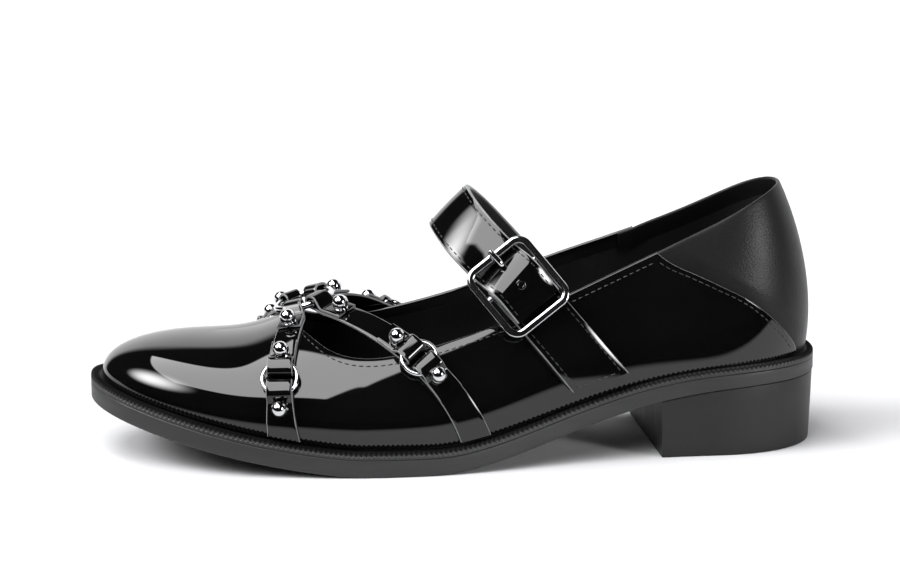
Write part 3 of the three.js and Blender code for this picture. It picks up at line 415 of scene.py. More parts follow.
sole_rubber = make_finish("sole_rubber", 0.012, 0.0175, (0.42, 0.58),
    [(260.0, 0.2, 0.05), (1500.0, 0.5, 0.03)], tone_scale=30.0, stretch=(1.0, 1.0, 6.0))
turns = even_turns(Plan(), 640)
ROUND, GROOVE_PITCH, GROOVE_DEPTH = 0.7, 6.0, 0.8
corner = np.linspace(0, np.pi / 2, 5)
layers = ([(4.0, 0.0, 0.0)]
    + [(ROUND * (1 - math.sin(a)), ROUND * (1 - math.cos(a)), 0.0) for a in corner]
    + [(0.0, 0.0, share) for share in (0.3, 0.5, 0.7)]
    + [(ROUND * (1 - math.cos(a)), -ROUND * (1 - math.sin(a)), 1.0) for a in corner]
    + [(6.0, 0.0, 1.0)])
side_wall = stack(turns, layers)
tread = across(side_wall[0], 61)
run, reach = tread[..., 0], tread[..., 1] - sole_centre(tread[..., 0])
groove = 0.5 - 0.5 * np.cos(2 * np.pi * (run + 0.004 * reach ** 2) / GROOVE_PITCH)
groove = np.clip((groove - 0.72) / 0.12, 0, 1)
inside = np.clip((Plan(7.0).half(run) - np.abs(reach)) / 1.0, 0, 1)
ends = np.clip((run + 118) / 2, 0, 1) * np.clip((-4 - run) / 2, 0, 1)
tread[..., 2] += GROOVE_DEPTH * groove * inside * ends
make_piece("outsole_rubber", ["outsole"], [(side_wall[:, ::-1], 0),
    (tread[:, ::-1], 0), (across(side_wall[-1], 3), 0)], [sole_rubber])

# -------- welt
# A storm welt of black rubber that runs round the foot under the upper's edge: flat beside
# the upper, then a rounded bead with cross ribs, bonded on top of the sole.

WELT_THICKNESS, WALL = 2.4, 1.7
welt_rubber = make_finish("welt_rubber", 0.003, 0.006, (0.5, 0.65),
    [(1300.0, 0.4, 0.03)], tone_scale=60.0, specular_ior_level=0.1)
outer_plan, inner_plan = Plan(), Plan(WALL, inside_ledge=True)
RIBS, STEPS = 350, 6             # ribs round the foot, and points to each
turns = even_turns(outer_plan, RIBS * STEPS)
outer, inner = outer_plan.ring(turns), inner_plan.ring(turns)
rib = 0.5 - 0.5 * np.cos(2 * np.pi * np.arange(len(turns)) / STEPS)
rows = []
# (share from the outer edge inwards, height, depth of the ribs there)
for share, lift, depth in ((1.0, 0.0, 0), (1.0, 1.9, 0), (0.78, 1.85, 0), (0.60, 1.75, 0),
        (0.52, 1.85, 0.1), (0.44, 2.15, 0.35), (0.34, 2.38, 0.6), (0.22, 2.4, 0.7),
        (0.12, 2.25, 0.75), (0.05, 1.95, 0.75), (0.012, 1.5, 0.7), (0.0, 1.0, 0.45),
        (0.0, 0.4, 0.0), (0.0, -0.25, 0.0), (1.0, -0.25, 0.0)):
    flat = outer * (1 - share) + inner * share
    flat = flat + (inner - outer) / 6.0 * (0.4 * depth * rib * (share < 0.1))[:, None]
    z = sole_top(flat[:, 0]) + GAP + lift - depth * rib
    rows.append(np.column_stack([flat, z]))
# Below the bead, from its tenth row on, its side is buffed together with the sole's.
buffed = (np.arange(len(rows) - 1) >= 10).astype(int)[:, None]
make_piece("ribbed_welt", ["welt"], [(np.array(rows), buffed)],
    [welt_rubber, sole_rubber], sharp=60.0)

# -------- heel
# A moulded heel block glued under the seat of the sole, its front cut square across and its
# sides drawn in a little towards the floor.

BREAST, HEEL_INSET, HEEL_TAPER, HEEL_GLUE = 71.0, 0.3, 0.9, 0.05
heel_rubber = make_finish("heel_rubber", 0.007, 0.011, (0.45, 0.6),
    [(240.0, 0.2, 0.04), (1500.0, 0.5, 0.03)], tone_scale=25.0, specular_ior_level=0.35)


def heel_ring(inset, bevel, count=60):
    """D-shaped outline from the breast's outer corner round the heel to its inner corner."""
    plan = Plan(inset)
    turn = np.linspace(0, np.pi / 2, count)
    breast = BREAST + bevel
    x = breast + (plan.end - breast) * np.sin(turn)
    outer = np.column_stack([x, plan.edge(x, -1.0)])
    inner = np.column_stack([x, plan.edge(x, 1.0)])[::-1]
    return np.concatenate([outer, inner[1:]])


rows = []
# (height over its share of the way up, share of the way up, how far the edges are rounded in)
for lift, share, bevel in ((0.0, 0.0, 4.0), (0.0, 0.0, 0.6), (0.2, 0.0, 0.15), (0.7, 0.0, 0.0),
        (-1.0, 0.3, 0.0), (-1.0, 0.5, 0.0), (-1.0, 0.8, 0.0), (-0.6, 1.0, 0.0),
        (-0.15, 1.0, 0.15), (0.0, 1.0, 0.6), (0.0, 1.0, 4.0)):
    ring = heel_ring(HEEL_INSET + HEEL_TAPER * (1 - share) + bevel, bevel)
    top = tread_height(ring[:, 0]) - HEEL_GLUE
    rows.append(np.column_stack([ring, lift + share * top]))
block = np.array(rows)
share = np.linspace(0, 1, 9)[None, :, None]
front = block[:, :1] * (1 - share) + block[:, -1:] * share
make_piece("heel_block", ["heel"], [(block[:, ::-1], 0), (front, 0),
    (across(block[0], 9)[:, ::-1], 0), (across(block[-1], 9), 0)], [heel_rubber])

# -------- footbed
# A cushioned leather footbed glued in on the sole, crowned a little and soft at its edge.

INSET, THICKNESS = WALL + 0.9, 4.6
lining_leather = make_finish("lining_leather", 0.006, 0.012, (0.5, 0.68),
    [(900.0, 0.7, 0.08), (180.0, 0.0, 0.12)], tone_scale=40.0)
turns = even_turns(Plan(INSET, inside_ledge=True), 360)
bed = stack(turns, [(INSET + draw, GAP + lift, 1.0) for draw, lift in ((5.0, 0.0), (0.3, 0.0),
    (0.0, 0.4), (0.0, 3.4), (0.25, 4.1), (0.9, 4.5), (2.2, THICKNESS), (9.0, THICKNESS))],
    inside_ledge=True)
make_piece("footbed", ["insole"], [(bed[:, ::-1], 0),
    (across(bed[0], 5)[:, ::-1], 0), (across(bed[-1], 15), 0)], [lining_leather])

# -------- upper
# The upper follows the surface of its last. A patent vamp and quarters in one run back to a
# seam that slopes down to the heel; a soft matte back piece lies under their edge. A black
# lining is glued inside, and the topline is turned over a cord.

RIDGE = table("x height centre",
    (-89, 43.1, 3.6), (-79, 43.8, 2.8), (-70, 45.6, 2.2), (-60, 49.4, 1.8), (-50, 52.4, 1.2),
    (-26, 57.0, 0.5), (8, 70.0, 0.1), (42, 92.0, -0.1), (57, 100.0, -0.3), (72, 107.0, -0.5),
    (97, 116.0, -0.9))
SECTION = table("x fullness inner_fall swell",
    (-130, 2.3, 0.0, 0.0), (-95, 2.3, 0.42, 0.012), (-60, 2.2, 0.42, 0.03),
    (-26, 2.1, 0.2, 0.03), (8, 2.0, 0.0, 0.03), (42, 1.9, 0.0, 0.03), (72, 1.68, 0.0, 0.03),
    (91, 1.6, 0.0, 0.03), (110, 1.75, 0.0, 0.035), (131, 2.0, 0.0, 0.055))
TOPLINE = table("x height inner_lift",
    (-63, 50.5, 0.0), (-57, 47.6, 0.3), (-50, 43.4, 1.2), (-42, 40.8, 2.4), (-29, 40.7, 3.2),
    (-11, 44.2, 3.6), (12, 51.0, 3.8), (33, 58.8, 3.8), (48, 64.9, 3.0), (70, 74.0, 1.4),
    (100, 87.4, 0.2), (111, 92.8, 0.0), (119, 96.0, 0.0), (130, 99.0, 0.0))
SEAM = table("x height",
    (66.0, 77.6), (69.5, 74.0), (72.3, 71.6), (82.9, 66.1), (94.0, 60.9), (106.6, 53.8),
    (114.9, 46.4), (121.3, 39.1), (124.0, 31.8), (125.5, 22.0))
THROAT = -62.5
FAN_TOE, FAN_HEEL = 44.0, 33.0   # how far the sections fan out over the toe and the heel
ridge_height, ridge_centre = curves(RIDGE)
fullness, inner_fall, swell = curves(SECTION)      # less full on the inner side of the foot
topline_outer, inner_lift = curves(TOPLINE)
seam_height, = curves(SEAM)
feather = Plan(inside_ledge=True)


def feather_height(x):
    """Where the upper meets the welt."""
    return sole_top(x) + GAP + WELT_THICKNESS + GAP


def ridge_x(x):
    """Place on the ridge above a feather station: rounded corners of power 3 turn the
    sections forward at the heel and back at the toe."""
    from_toe, from_heel = np.maximum(x - feather.start, 0), np.maximum(feather.end - x, 0)
    return (x + (from_toe ** 3 + FAN_TOE ** 3) ** (1 / 3) - from_toe
            - (from_heel ** 3 + FAN_HEEL ** 3) ** (1 / 3) + from_heel)


def last_point(x, side, turn):
    """Last above station x: a superellipse quarter from the feather, turn 0, to the ridge,
    turn 1, with its wall swelled out by a share of its half width."""
    x, side, turn = np.broadcast_arrays(np.asarray(x, float), side, turn)
    power = fullness(x) - np.where(side > 0, inner_fall(x), 0.0)
    angle = turn * np.pi / 2
    cosine, sine = np.abs(np.cos(angle)), np.abs(np.sin(angle))
    scale = (cosine ** power + sine ** power) ** (-1 / power)
    rise = sine * scale
    reach = cosine * scale * (1 + swell(x) * 6.75 * rise * (1 - rise) ** 2)
    along = ridge_x(x)
    middle = ridge_centre(along)
    foot = feather_height(x)
    return np.stack([along + (x - along) * reach,
        middle + (feather.edge(x, side) - middle) * reach,
        foot + (ridge_height(along) - foot) * rise], -1)


def unit(vectors):
    """Vectors made one long."""
    return vectors / np.maximum(np.linalg.norm(vectors, axis=-1, keepdims=True), 1e-12)


def last_normal(x, side, turn):
    """Outward normal of the last, from small steps along it and up it."""
    x, side, turn = np.broadcast_arrays(np.asarray(x, float), side, turn)
    back = np.maximum(x - 0.4, feather.start + 0.01)
    ahead = np.minimum(x + 0.4, feather.end - 0.01)
    along = last_point(ahead, side, turn) - last_point(back, side, turn)
    up = (last_point(x, side, np.minimum(turn + 0.004, 1))
          - last_point(x, side, np.maximum(turn - 0.004, 0)))
    normal = unit(np.cross(along, up) * -np.asarray(side)[..., None])
    tip = (x < feather.start + 0.02) | (x > feather.end - 0.02)
    normal = unit(normal * np.where(tip[..., None], (1, 0, 1), (1, 1, 1)))
    slope = (ridge_height(ridge_x(x) + 1) - ridge_height(ridge_x(x) - 1)) / 2
    level = unit(np.stack([-slope, 0 * slope, np.ones_like(slope)], -1))
    return np.where((turn > 0.995)[..., None], level, normal)


def off_last(x, side, turn, lift=0.0):
    """Points at a lift off the last, and its normals there."""
    normal = last_normal(x, side, turn)
    return last_point(x, side, turn) + normal * np.asarray(lift)[..., None], normal


def crossing(test, low, high, shape=(1,), steps=80):
    """First place where a test turns from negative to positive: marched in even steps and
    then halved thirty times."""
    marks = np.linspace(low, high, steps + 1)
    past = np.stack([test(np.full(shape, mark)) for mark in marks]) >= 0
    first = np.where(past.any(0), past.argmax(0), steps)
    a, b = marks[np.maximum(first - 1, 0)], marks[first]
    for _ in range(30):
        middle = (a + b) / 2
        short = test(middle) < 0
        a, b = np.where(short, middle, a), np.where(short, b, middle)
    return np.where(past.any(0), b, high)


def topline_height(x, side):
    return topline_outer(x) + np.where(np.asarray(side) > 0, inner_lift(x), 0.0)


def find_topline(x, side):
    """Turn at which each section meets the topline, or 1 where it closes over the toe."""
    def over(turn):
        p = last_point(x, side, turn)
        return np.where(p[..., 0] <= THROAT, -1.0, p[..., 2] - topline_height(p[..., 0], side))
    top = crossing(over, 0.0, 1.0, np.shape(x), 200)
    return np.where(ridge_x(x) <= THROAT + 1e-6, 1.0, top)


throat_station = crossing(lambda x: find_topline(x, -1.0) * -1 + 0.9999, -125.0, -60.0)[0]
top_run = np.r_[np.linspace(feather.start, throat_station, 40)[:-1],
    throat_station + (feather.end - throat_station) * np.linspace(0, 1, 500) ** 2]
TOP = {side: find_topline(top_run, side) for side in (-1.0, 1.0)}


def top_turn(x, side):
    """Topline turn, read off the solved stations, less half the rolled edge's thickness."""
    edge = np.interp(x, top_run, TOP[side])
    rise = np.linalg.norm(last_point(x, side, edge) - last_point(x, side, edge - 0.01), axis=-1)
    tuck = np.clip((np.asarray(x) - throat_station) / 3.0, 0, 1)
    return edge - 0.01 * (WALL / 2) * tuck / rise


def seam_station(share, side):
    """Station where the row at a share of the wall's height meets the back seam."""
    def behind(x):
        p = last_point(x, side, share * top_turn(x, side))
        return p[..., 2] - seam_height(p[..., 0])
    return crossing(behind, 40.0, feather.end, share.shape, 160)


def rolled_edge(x, side, lift, thickness, facing):
    """Topline turned over: a half circle from the outer to the inner face, then a facing
    that runs down inside."""
    top = top_turn(x, side)
    p, n = off_last(x, side, top)
    down = unit(last_point(x, side, top - 0.01) - p)
    lift = np.broadcast_to(lift, np.shape(x))[..., None]
    middle = p + n * (lift - thickness / 2)
    angle = np.linspace(np.pi / 2, -np.pi / 2, 9)[:, None, None]
    arc = middle + thickness / 2 * (n * np.sin(angle) - down * np.cos(angle))
    inside = middle - thickness / 2 * n
    falls = [inside + down * fall + n * tuck
        for fall, tuck in ((facing / 2, 0), (facing, 0), (facing + 0.4, 0.5))]
    return np.swapaxes(np.concatenate([arc, np.array(falls)]), 0, 1)


def facing_out(grid, side):
    """Rows turned round on the inner side, so that faces look outward on both sides."""
    return grid if side < 0 else grid[::-1]


patent = make_finish("patent_leather", 0.0012, 0.0026, (0.30, 0.40),
    [(45.0, 0.0, 0.10), (160.0, 0.0, 0.012)], tone_scale=12.0,
    coat_weight=1.0, coat_roughness=0.025, coat_ior=1.55, specular_ior_level=0.0)
# Cut edges are pale grey: partly the raw edge's own colour, partly a painted highlight for the
# light line along them.
cut_edge_painted_sheen = make_finish("cut_edge_painted_sheen", 0.12, 0.22, (0.4, 0.55),
    [(1800.0, 0.3, 0.04)], tone_scale=90.0)
soft_leather = make_finish("soft_leather", 0.006, 0.010, (0.35, 0.43),
    [(60.0, 0.0, 0.18), (1400.0, 0.75, 0.06)], tone_scale=18.0, specular_ior_level=0.2)

ROWS = 48
share = np.linspace(0, 1, ROWS + 1)
share = share + 0.03 * np.sin(2 * np.pi * share) / np.pi     # closer together at both ends
TOE_COLUMNS = 50
skins = []
for side in (-1.0, 1.0):
    ends = seam_station(share, side)
    toe = (1 - np.cos(np.linspace(0, np.pi / 2, TOE_COLUMNS)))[:, None] * np.ones_like(share)
    columns_front = feather.start + (throat_station - feather.start) * toe
    back = np.r_[np.linspace(0, 1, 110)[1:-1] ** 1.6, 0.9975, 1.0][:, None]
    columns_back = throat_station + (ends - throat_station) * back
    x = np.concatenate([columns_front, columns_back])
    turn = share * top_turn(x, side)
    wall = last_point(x, side, turn)
    skins.append((facing_out(wall, side), 0))
    # the cut edge along the back seam, rolled down on to the back piece; its pale grey is partly
    # the edge's own colour and partly a painted highlight
    n = last_normal(x[-1], side, turn[-1])
    back_way = unit(wall[-1] - wall[-3])
    lip = np.array([wall[-1], wall[-1] + back_way * 0.18 - n * 0.15,
        wall[-1] + back_way * 0.2 - n * 0.55, wall[-1] + back_way * 0.2 - n * 0.95])
    skins.append((facing_out(lip, side), 1))
    rim = rolled_edge(x[TOE_COLUMNS - 1:, -1], side, 0.0, WALL, 5.0)
    skins.append((facing_out(rim, side), 0))
make_piece("patent_vamp_and_quarters", ["upper"], skins, [patent, cut_edge_painted_sheen])

UNDERLAP, TUCKED, FLUSH = 6.0, 0.85, 0.1     # under the quarters' edge, and behind it
skins = []
for side in (-1.0, 1.0):
    begin = seam_station(share, side) - UNDERLAP
    along = np.linspace(0, 1, 60)[:, None]
    x = begin + (feather.end - begin) * (1 - (1 - along) ** 1.4)
    turn = share * top_turn(x, side)
    clear = np.clip((x - begin - UNDERLAP - 0.5) / 7.0, 0, 1)
    lift = -TUCKED + (TUCKED - FLUSH) * clear ** 0.6
    back_wall, _ = off_last(x, side, turn, lift)
    rim = rolled_edge(x[:, -1], side, lift[:, -1], WALL - 0.2, 7.0)
    skins += [(facing_out(back_wall, side), 0), (facing_out(rim, side), 0)]
make_piece("soft_back_piece", [], skins, [soft_leather])

LINING_INSIDE, LINING_DROP = WALL - 0.25, 0.012      # under the face, and under the topline
skins = []
for side in (-1.0, 1.0):
    x = np.concatenate([np.linspace(feather.start, throat_station, 24)[:-1],
        throat_station + (feather.end - throat_station)
        * (1 - np.cos(np.linspace(0, np.pi, 160))) / 2])[:, None]
    rise = np.linspace(0, 1, 22)
    top = top_turn(x, side)
    turn = rise * np.where(top < 1, top - LINING_DROP, 1.0)
    inner_face, _ = off_last(x, side, turn, -LINING_INSIDE)
    skins.append((facing_out(inner_face, -side), 0))
make_piece("upper_lining", [], skins, [lining_leather])

# -------- vamp harness
# Four arms hang from one ring over the vamp. Each is an upper and a lower patent strap,
# folded round the big ring and a small ring between them, and riveted by ball studs. The
# lower ends are lasted in under the welt.

HARNESS_WIDTH, FOLD_WIDTH, FOOT_WIDTH = 9.2, 5.6, 11.2
PLY, HARNESS_CLEAR, SLACK = 1.0, 0.35, 0.4
LAYER = PLY / 2
STACK = LAYER + PLY + GAP
BIG_RING, BIG_WIRE = 10.2, 1.25
SMALL_RING, SMALL_WIRE = 6.2, 0.9
RING_RISE, TAB, FOOT_RISE = 0.2, 10.2, 1.1
BALL, FLANGE = 2.9, 2.6
ARMS = (
    dict(arm="front", through=(-64.3, 28, 41), plane=(0.935, 0.326, 0.12), ring=33.1,
        tab=11, studs=(8.8, 9.6, 10.4), meet=(math.pi / 2, math.pi)),
    dict(arm="rear", through=(-26.0, 31, 44), plane=(0.716, -0.583, 0.385), ring=39.5,
        tab=13, studs=(10.2, 10.4, 9.0), meet=(0, math.pi / 2)))


def dot(a, b):
    return (a * b).sum(-1)


class Route:
    """Path over the shoe with a surface normal at each point, measured by its length. Before
    its start and past its end it runs straight."""

    def __init__(self, points, normals):
        self.points, self.normals = points, normals
        steps = np.linalg.norm(np.diff(points, axis=0), axis=1)
        self.lengths = np.r_[0, np.cumsum(steps)]
        self.length = self.lengths[-1]

    def at(self, length):
        """Point, tangent, normal and the way across, towards the heel, at each length."""
        length = np.atleast_1d(np.asarray(length, float))
        last = len(self.points) - 1
        i = np.clip(np.searchsorted(self.lengths, length) - 1, 0, last - 1)
        share = ((length - self.lengths[i]) / (self.lengths[i + 1] - self.lengths[i]))[:, None]
        point = self.points[i] * (1 - share) + self.points[i + 1] * share
        share = np.clip(share, 0, 1)
        normal = unit(self.normals[i] * (1 - share) + self.normals[i + 1] * share)
        tangent = self.points[np.minimum(i + 2, last)] - self.points[np.maximum(i - 1, 0)]
        tangent = unit(tangent - normal * dot(tangent, normal)[:, None])
        aside = unit(np.cross(tangent, normal))
        aside = aside * np.where(aside[:, :1] < 0, -1, 1)
        return point, tangent, normal, aside

    def spot(self, length):
        """The same for a single length."""
        return tuple(v[0] for v in self.at(length))

    def locate(self, target, low=0.0, high=None):
        """Length along the route, and height over it, of a point near it."""
        def past(length):
            point, tangent, _, _ = self.at(length)
            return dot(point - target, tangent)
        length = crossing(past, low, self.length if high is None else high, steps=60)
        point, _, normal, _ = self.at(length)
        return length[0], dot(target - point, normal)[0]

    def length_at_height(self, height, low, high):
        """Length where the route comes down to a height."""
        return crossing(lambda s: height - self.at(s)[0][:, 2], low, high)[0]


def plane_route(side, through, normal, top, bottom, lift, count=160):
    """Where a plane cuts one side of the last, from the ridge down to the feather."""
    turn = np.linspace(top, bottom, count)
    x = crossing(lambda at: dot(last_point(at, side, turn) - through, normal),
        feather.start, feather.end, turn.shape)
    return Route(*off_last(x, side, turn, lift))


def stretch(start, end, height, step):
    """Even stations at one height."""
    count = max(1, round(abs(end - start) / step))
    return np.column_stack([np.linspace(start, end, count + 1), np.full(count + 1, height)])


def ease(value, low, high):
    """Smooth step from 0 to 1."""
    t = np.clip((value - low) / (high - low), 0, 1)
    return t * t * (3 - 2 * t)


def wire_span(wire, circle, tangent, normal, aside):
    """How far a ring's wire strays, within a strap's width, from where the strap meets it:
    back, front, low and high."""
    away = circle(np.arange(0, 2 * np.pi, 0.02)) - wire
    near = (np.linalg.norm(away, axis=1) <= 8) & (np.abs(away @ aside) <= HARNESS_WIDTH / 2 + 0.3)
    along, up = (away @ tangent)[near], (away @ normal)[near]
    return max(0, -along.min()), max(0, along.max()), max(0, -up.min()), max(0, up.max())


def fold(wire, span, radius, way, slope):
    """Stations of a strap folded round a wire: down from the upper layer, a half circle
    behind the wire, and back along the lower layer."""
    radius = radius + SLACK + LAYER
    back, front, low, high = span
    top = wire[1] + high + radius
    bottom = max(wire[1] - low - radius, LAYER)
    behind, ahead = (back, front) if way > 0 else (front, back)
    centre, half = wire[0] - way * (behind + 0.6), (top - bottom) / 2
    angle = np.linspace(np.pi / 2, np.pi * 1.5, 9)
    arc = np.column_stack([centre + way * half * np.cos(angle),
        bottom + half + half * np.sin(angle)])
    return np.array([[wire[0] + way * (ahead + slope), STACK],
        [wire[0] + way * (ahead + 0.6), top], *arc, [wire[0] + way * (ahead + 1.6), LAYER]])


def smooth(values, width):
    """Running mean over a list, its ends kept."""
    padded = np.pad(values, width, mode="reflect", reflect_type="odd")
    return np.convolve(padded, np.ones(2 * width + 1) / (2 * width + 1), "valid")


def fine_path(path, step=0.5, soften=2):
    """A path of stations filled in at an even step, its corners softened by a running mean."""
    run = np.r_[0, np.cumsum(np.linalg.norm(np.diff(path, axis=0), axis=1))]
    even = np.linspace(0, run[-1], max(8, round(run[-1] / step)))
    fine = np.column_stack([np.interp(even, run, path[:, k]) for k in range(path.shape[1])])
    return np.column_stack([smooth(fine[:, k], soften) for k in range(path.shape[1])])


def strap_section(width, thickness, crown=0.0):
    """Round-edged strap section, twenty points: over the top, round one cut edge, back
    underneath and round the other. Returns across, height and finish numbers."""
    corner = thickness * 0.28
    a = np.linspace(-1, 1, 9)
    flat = width[:, None] / 2 - corner
    top = a * flat
    bulge = thickness / 2 + crown * (1 - a ** 2)
    turn = np.linspace(np.pi / 2, -np.pi / 2, 5)[1:-1]
    across_edge = flat + corner * np.cos(turn)
    up_edge = np.array([thickness / 2 - corner * (1 - math.sin(turn[0])), 0.0,
        -thickness / 2 + corner * (1 - math.sin(turn[0]))])
    ones = np.ones_like(flat)
    aside = np.concatenate([top, across_edge, -top, -across_edge[:, ::-1], top[:, :1]], 1)
    up = np.concatenate([ones * bulge, ones * up_edge, -ones * thickness / 2 * np.ones(9),
        ones * up_edge[::-1], ones * bulge[:1]], 1)
    finish = np.array([0] * 8 + [1] * 4 + [2] * 8 + [1] * 4)
    return aside, up, finish


def strap(route, path, thickness, width, skew=0.0, crown=0.0, step=0.5):
    """Strap along [length, height] stations of a route, closed at both ends. Its last
    stations lean by the skew, so that its foot follows the feather. Returns its skin, its
    middle line, the way out of its face, and the way across."""
    path = fine_path(np.asarray(path, float), step)
    point, tangent, normal, aside = route.at(path[:, 0])
    middle = point + normal * path[:, 1:]
    run = np.gradient(middle, axis=0)
    face = unit(np.cross(aside, run))
    face = face * np.sign(dot(face, normal).sum() or 1.0)
    across_by, up_by, finish = strap_section(width(path[:, 0]), thickness, crown)
    lean = skew * ease(path[:, 0], path[-1, 0] - 12, path[-1, 0])[:, None]
    grid = (middle[:, None] + (aside[:, None] + tangent[:, None] * lean[..., None])
            * across_by[..., None] + face[:, None] * up_by[..., None])
    caps = [np.broadcast_to(end.mean(0), grid[:1].shape) for end in (grid[0, :-1], grid[-1, :-1])]
    grid = np.concatenate([caps[0], grid, caps[1]])
    if dot(np.cross(face, aside), unit(run)).sum() > 0:
        grid, finish = grid[:, ::-1], finish[::-1]
    return (grid, finish), middle, face, aside


def foot_skew(route, length):
    """Lean that lays a strap's end along the feather line."""
    point, tangent, _, aside = route.spot(length)
    slope = (feather_height(point[0] + 1) - feather_height(point[0] - 1)) / 2
    return -(aside[2] - slope * aside[0]) / (tangent[2] - slope * tangent[0])


def once_round(count):
    """Turns once round, one to a column of a grid."""
    return np.linspace(0, 2 * np.pi, count + 1)[None, :, None]


def ring_skin(centre, u, v, radius, wire, around=56, section=12):
    """Round wire bent to a circle: points at radius + wire cos(b) in its plane."""
    a, b = np.swapaxes(once_round(around), 0, 1), once_round(section)
    out = u * np.cos(a) + v * np.sin(a)
    return centre + out * (radius + wire * np.cos(b)) + np.cross(u, v) * wire * np.sin(b)


def turned(frame, profile, around=28):
    """Turned piece: a profile of [radius, height] carried round a normal."""
    point, tangent, normal, _ = frame
    a = once_round(around)
    side_way = np.cross(normal, tangent)
    radius, lift = profile[:, 0][:, None, None], profile[:, 1][:, None, None]
    return point + (tangent * np.cos(a) + side_way * np.sin(a)) * radius + normal * lift


def stitches(line, out):
    """Sewn stitches along a line on a surface: each a small pointed spindle of six sides,
    sunk a little, one to a pitch. Returns one skin a row of stitches."""
    pitch, length, radius = 2.6, 1.9, 0.24
    run = np.r_[0, np.cumsum(np.linalg.norm(np.diff(line, axis=0), axis=1))]
    middle = np.arange(pitch / 2, run[-1] - pitch / 4, pitch)

    def at(s, what):
        return np.column_stack([np.interp(s, run, what[:, k]) for k in range(3)])
    centre, up = at(middle, line), unit(at(middle, out))
    along = unit(at(middle + 0.3, line) - at(middle - 0.3, line))
    aside = np.cross(along, up)
    share = np.array([-1.0, -0.72, 0.0, 0.72, 1.0])
    girth = np.array([0.0, 0.8, 1.0, 0.8, 0.0]) * radius
    a = np.linspace(0, 2 * np.pi, 7)
    body = (centre[:, None, None] + along[:, None, None] * (share * length / 2)[None, :, None, None]
        + (aside[:, None, None] * np.cos(a)[None, None, :, None]
           + up[:, None, None] * (np.sin(a) + 0.25)[None, None, :, None])
        * girth[None, :, None, None])
    return [(spindle[:, ::-1], 0) for spindle in body]


chrome = make_finish("chrome", 0.62, 0.72, (0.05, 0.10),
    [(70.0, 0.0, 0.006)], tone_scale=40.0, metallic=1.0)
thread = make_finish("black_thread", 0.006, 0.014, (0.35, 0.5),
    [(2500.0, 0.5, 0.06)], tone_scale=150.0, coat_weight=0.3)
COLLAR, NECK = 0.42, 0.91        # height of a stud's collar, and the turn where its ball starts
ball_centre = COLLAR + BALL * math.cos(NECK)
angle = np.linspace(NECK, np.pi, 16)
STUD = np.array([[0, -0.15], [FLANGE - 0.1, -0.15], [FLANGE, 0.05], [FLANGE - 0.15, 0.3],
    [2.35, 0.4], *np.column_stack([BALL * np.sin(angle),
    ball_centre - BALL * np.cos(angle)])])

RING_X = -54.5
ring_slope = (ridge_height(RING_X + 2) - ridge_height(RING_X - 2)) / 4
ring_up = unit(np.array([-ring_slope, 0, 1.0]))
ring_along = unit(np.array([1.0, 0, ring_slope]))
ring_centre = (np.array([RING_X, 0.4, ridge_height(RING_X)])
    + ring_up * (HARNESS_CLEAR + PLY + GAP + BIG_WIRE + RING_RISE))
make_piece("big_ring_wire", ["big_ring"], [(ring_skin(ring_centre, ring_along,
    np.array([0, 1.0, 0]), BIG_RING, BIG_WIRE, 96, 14), 0)], [chrome])
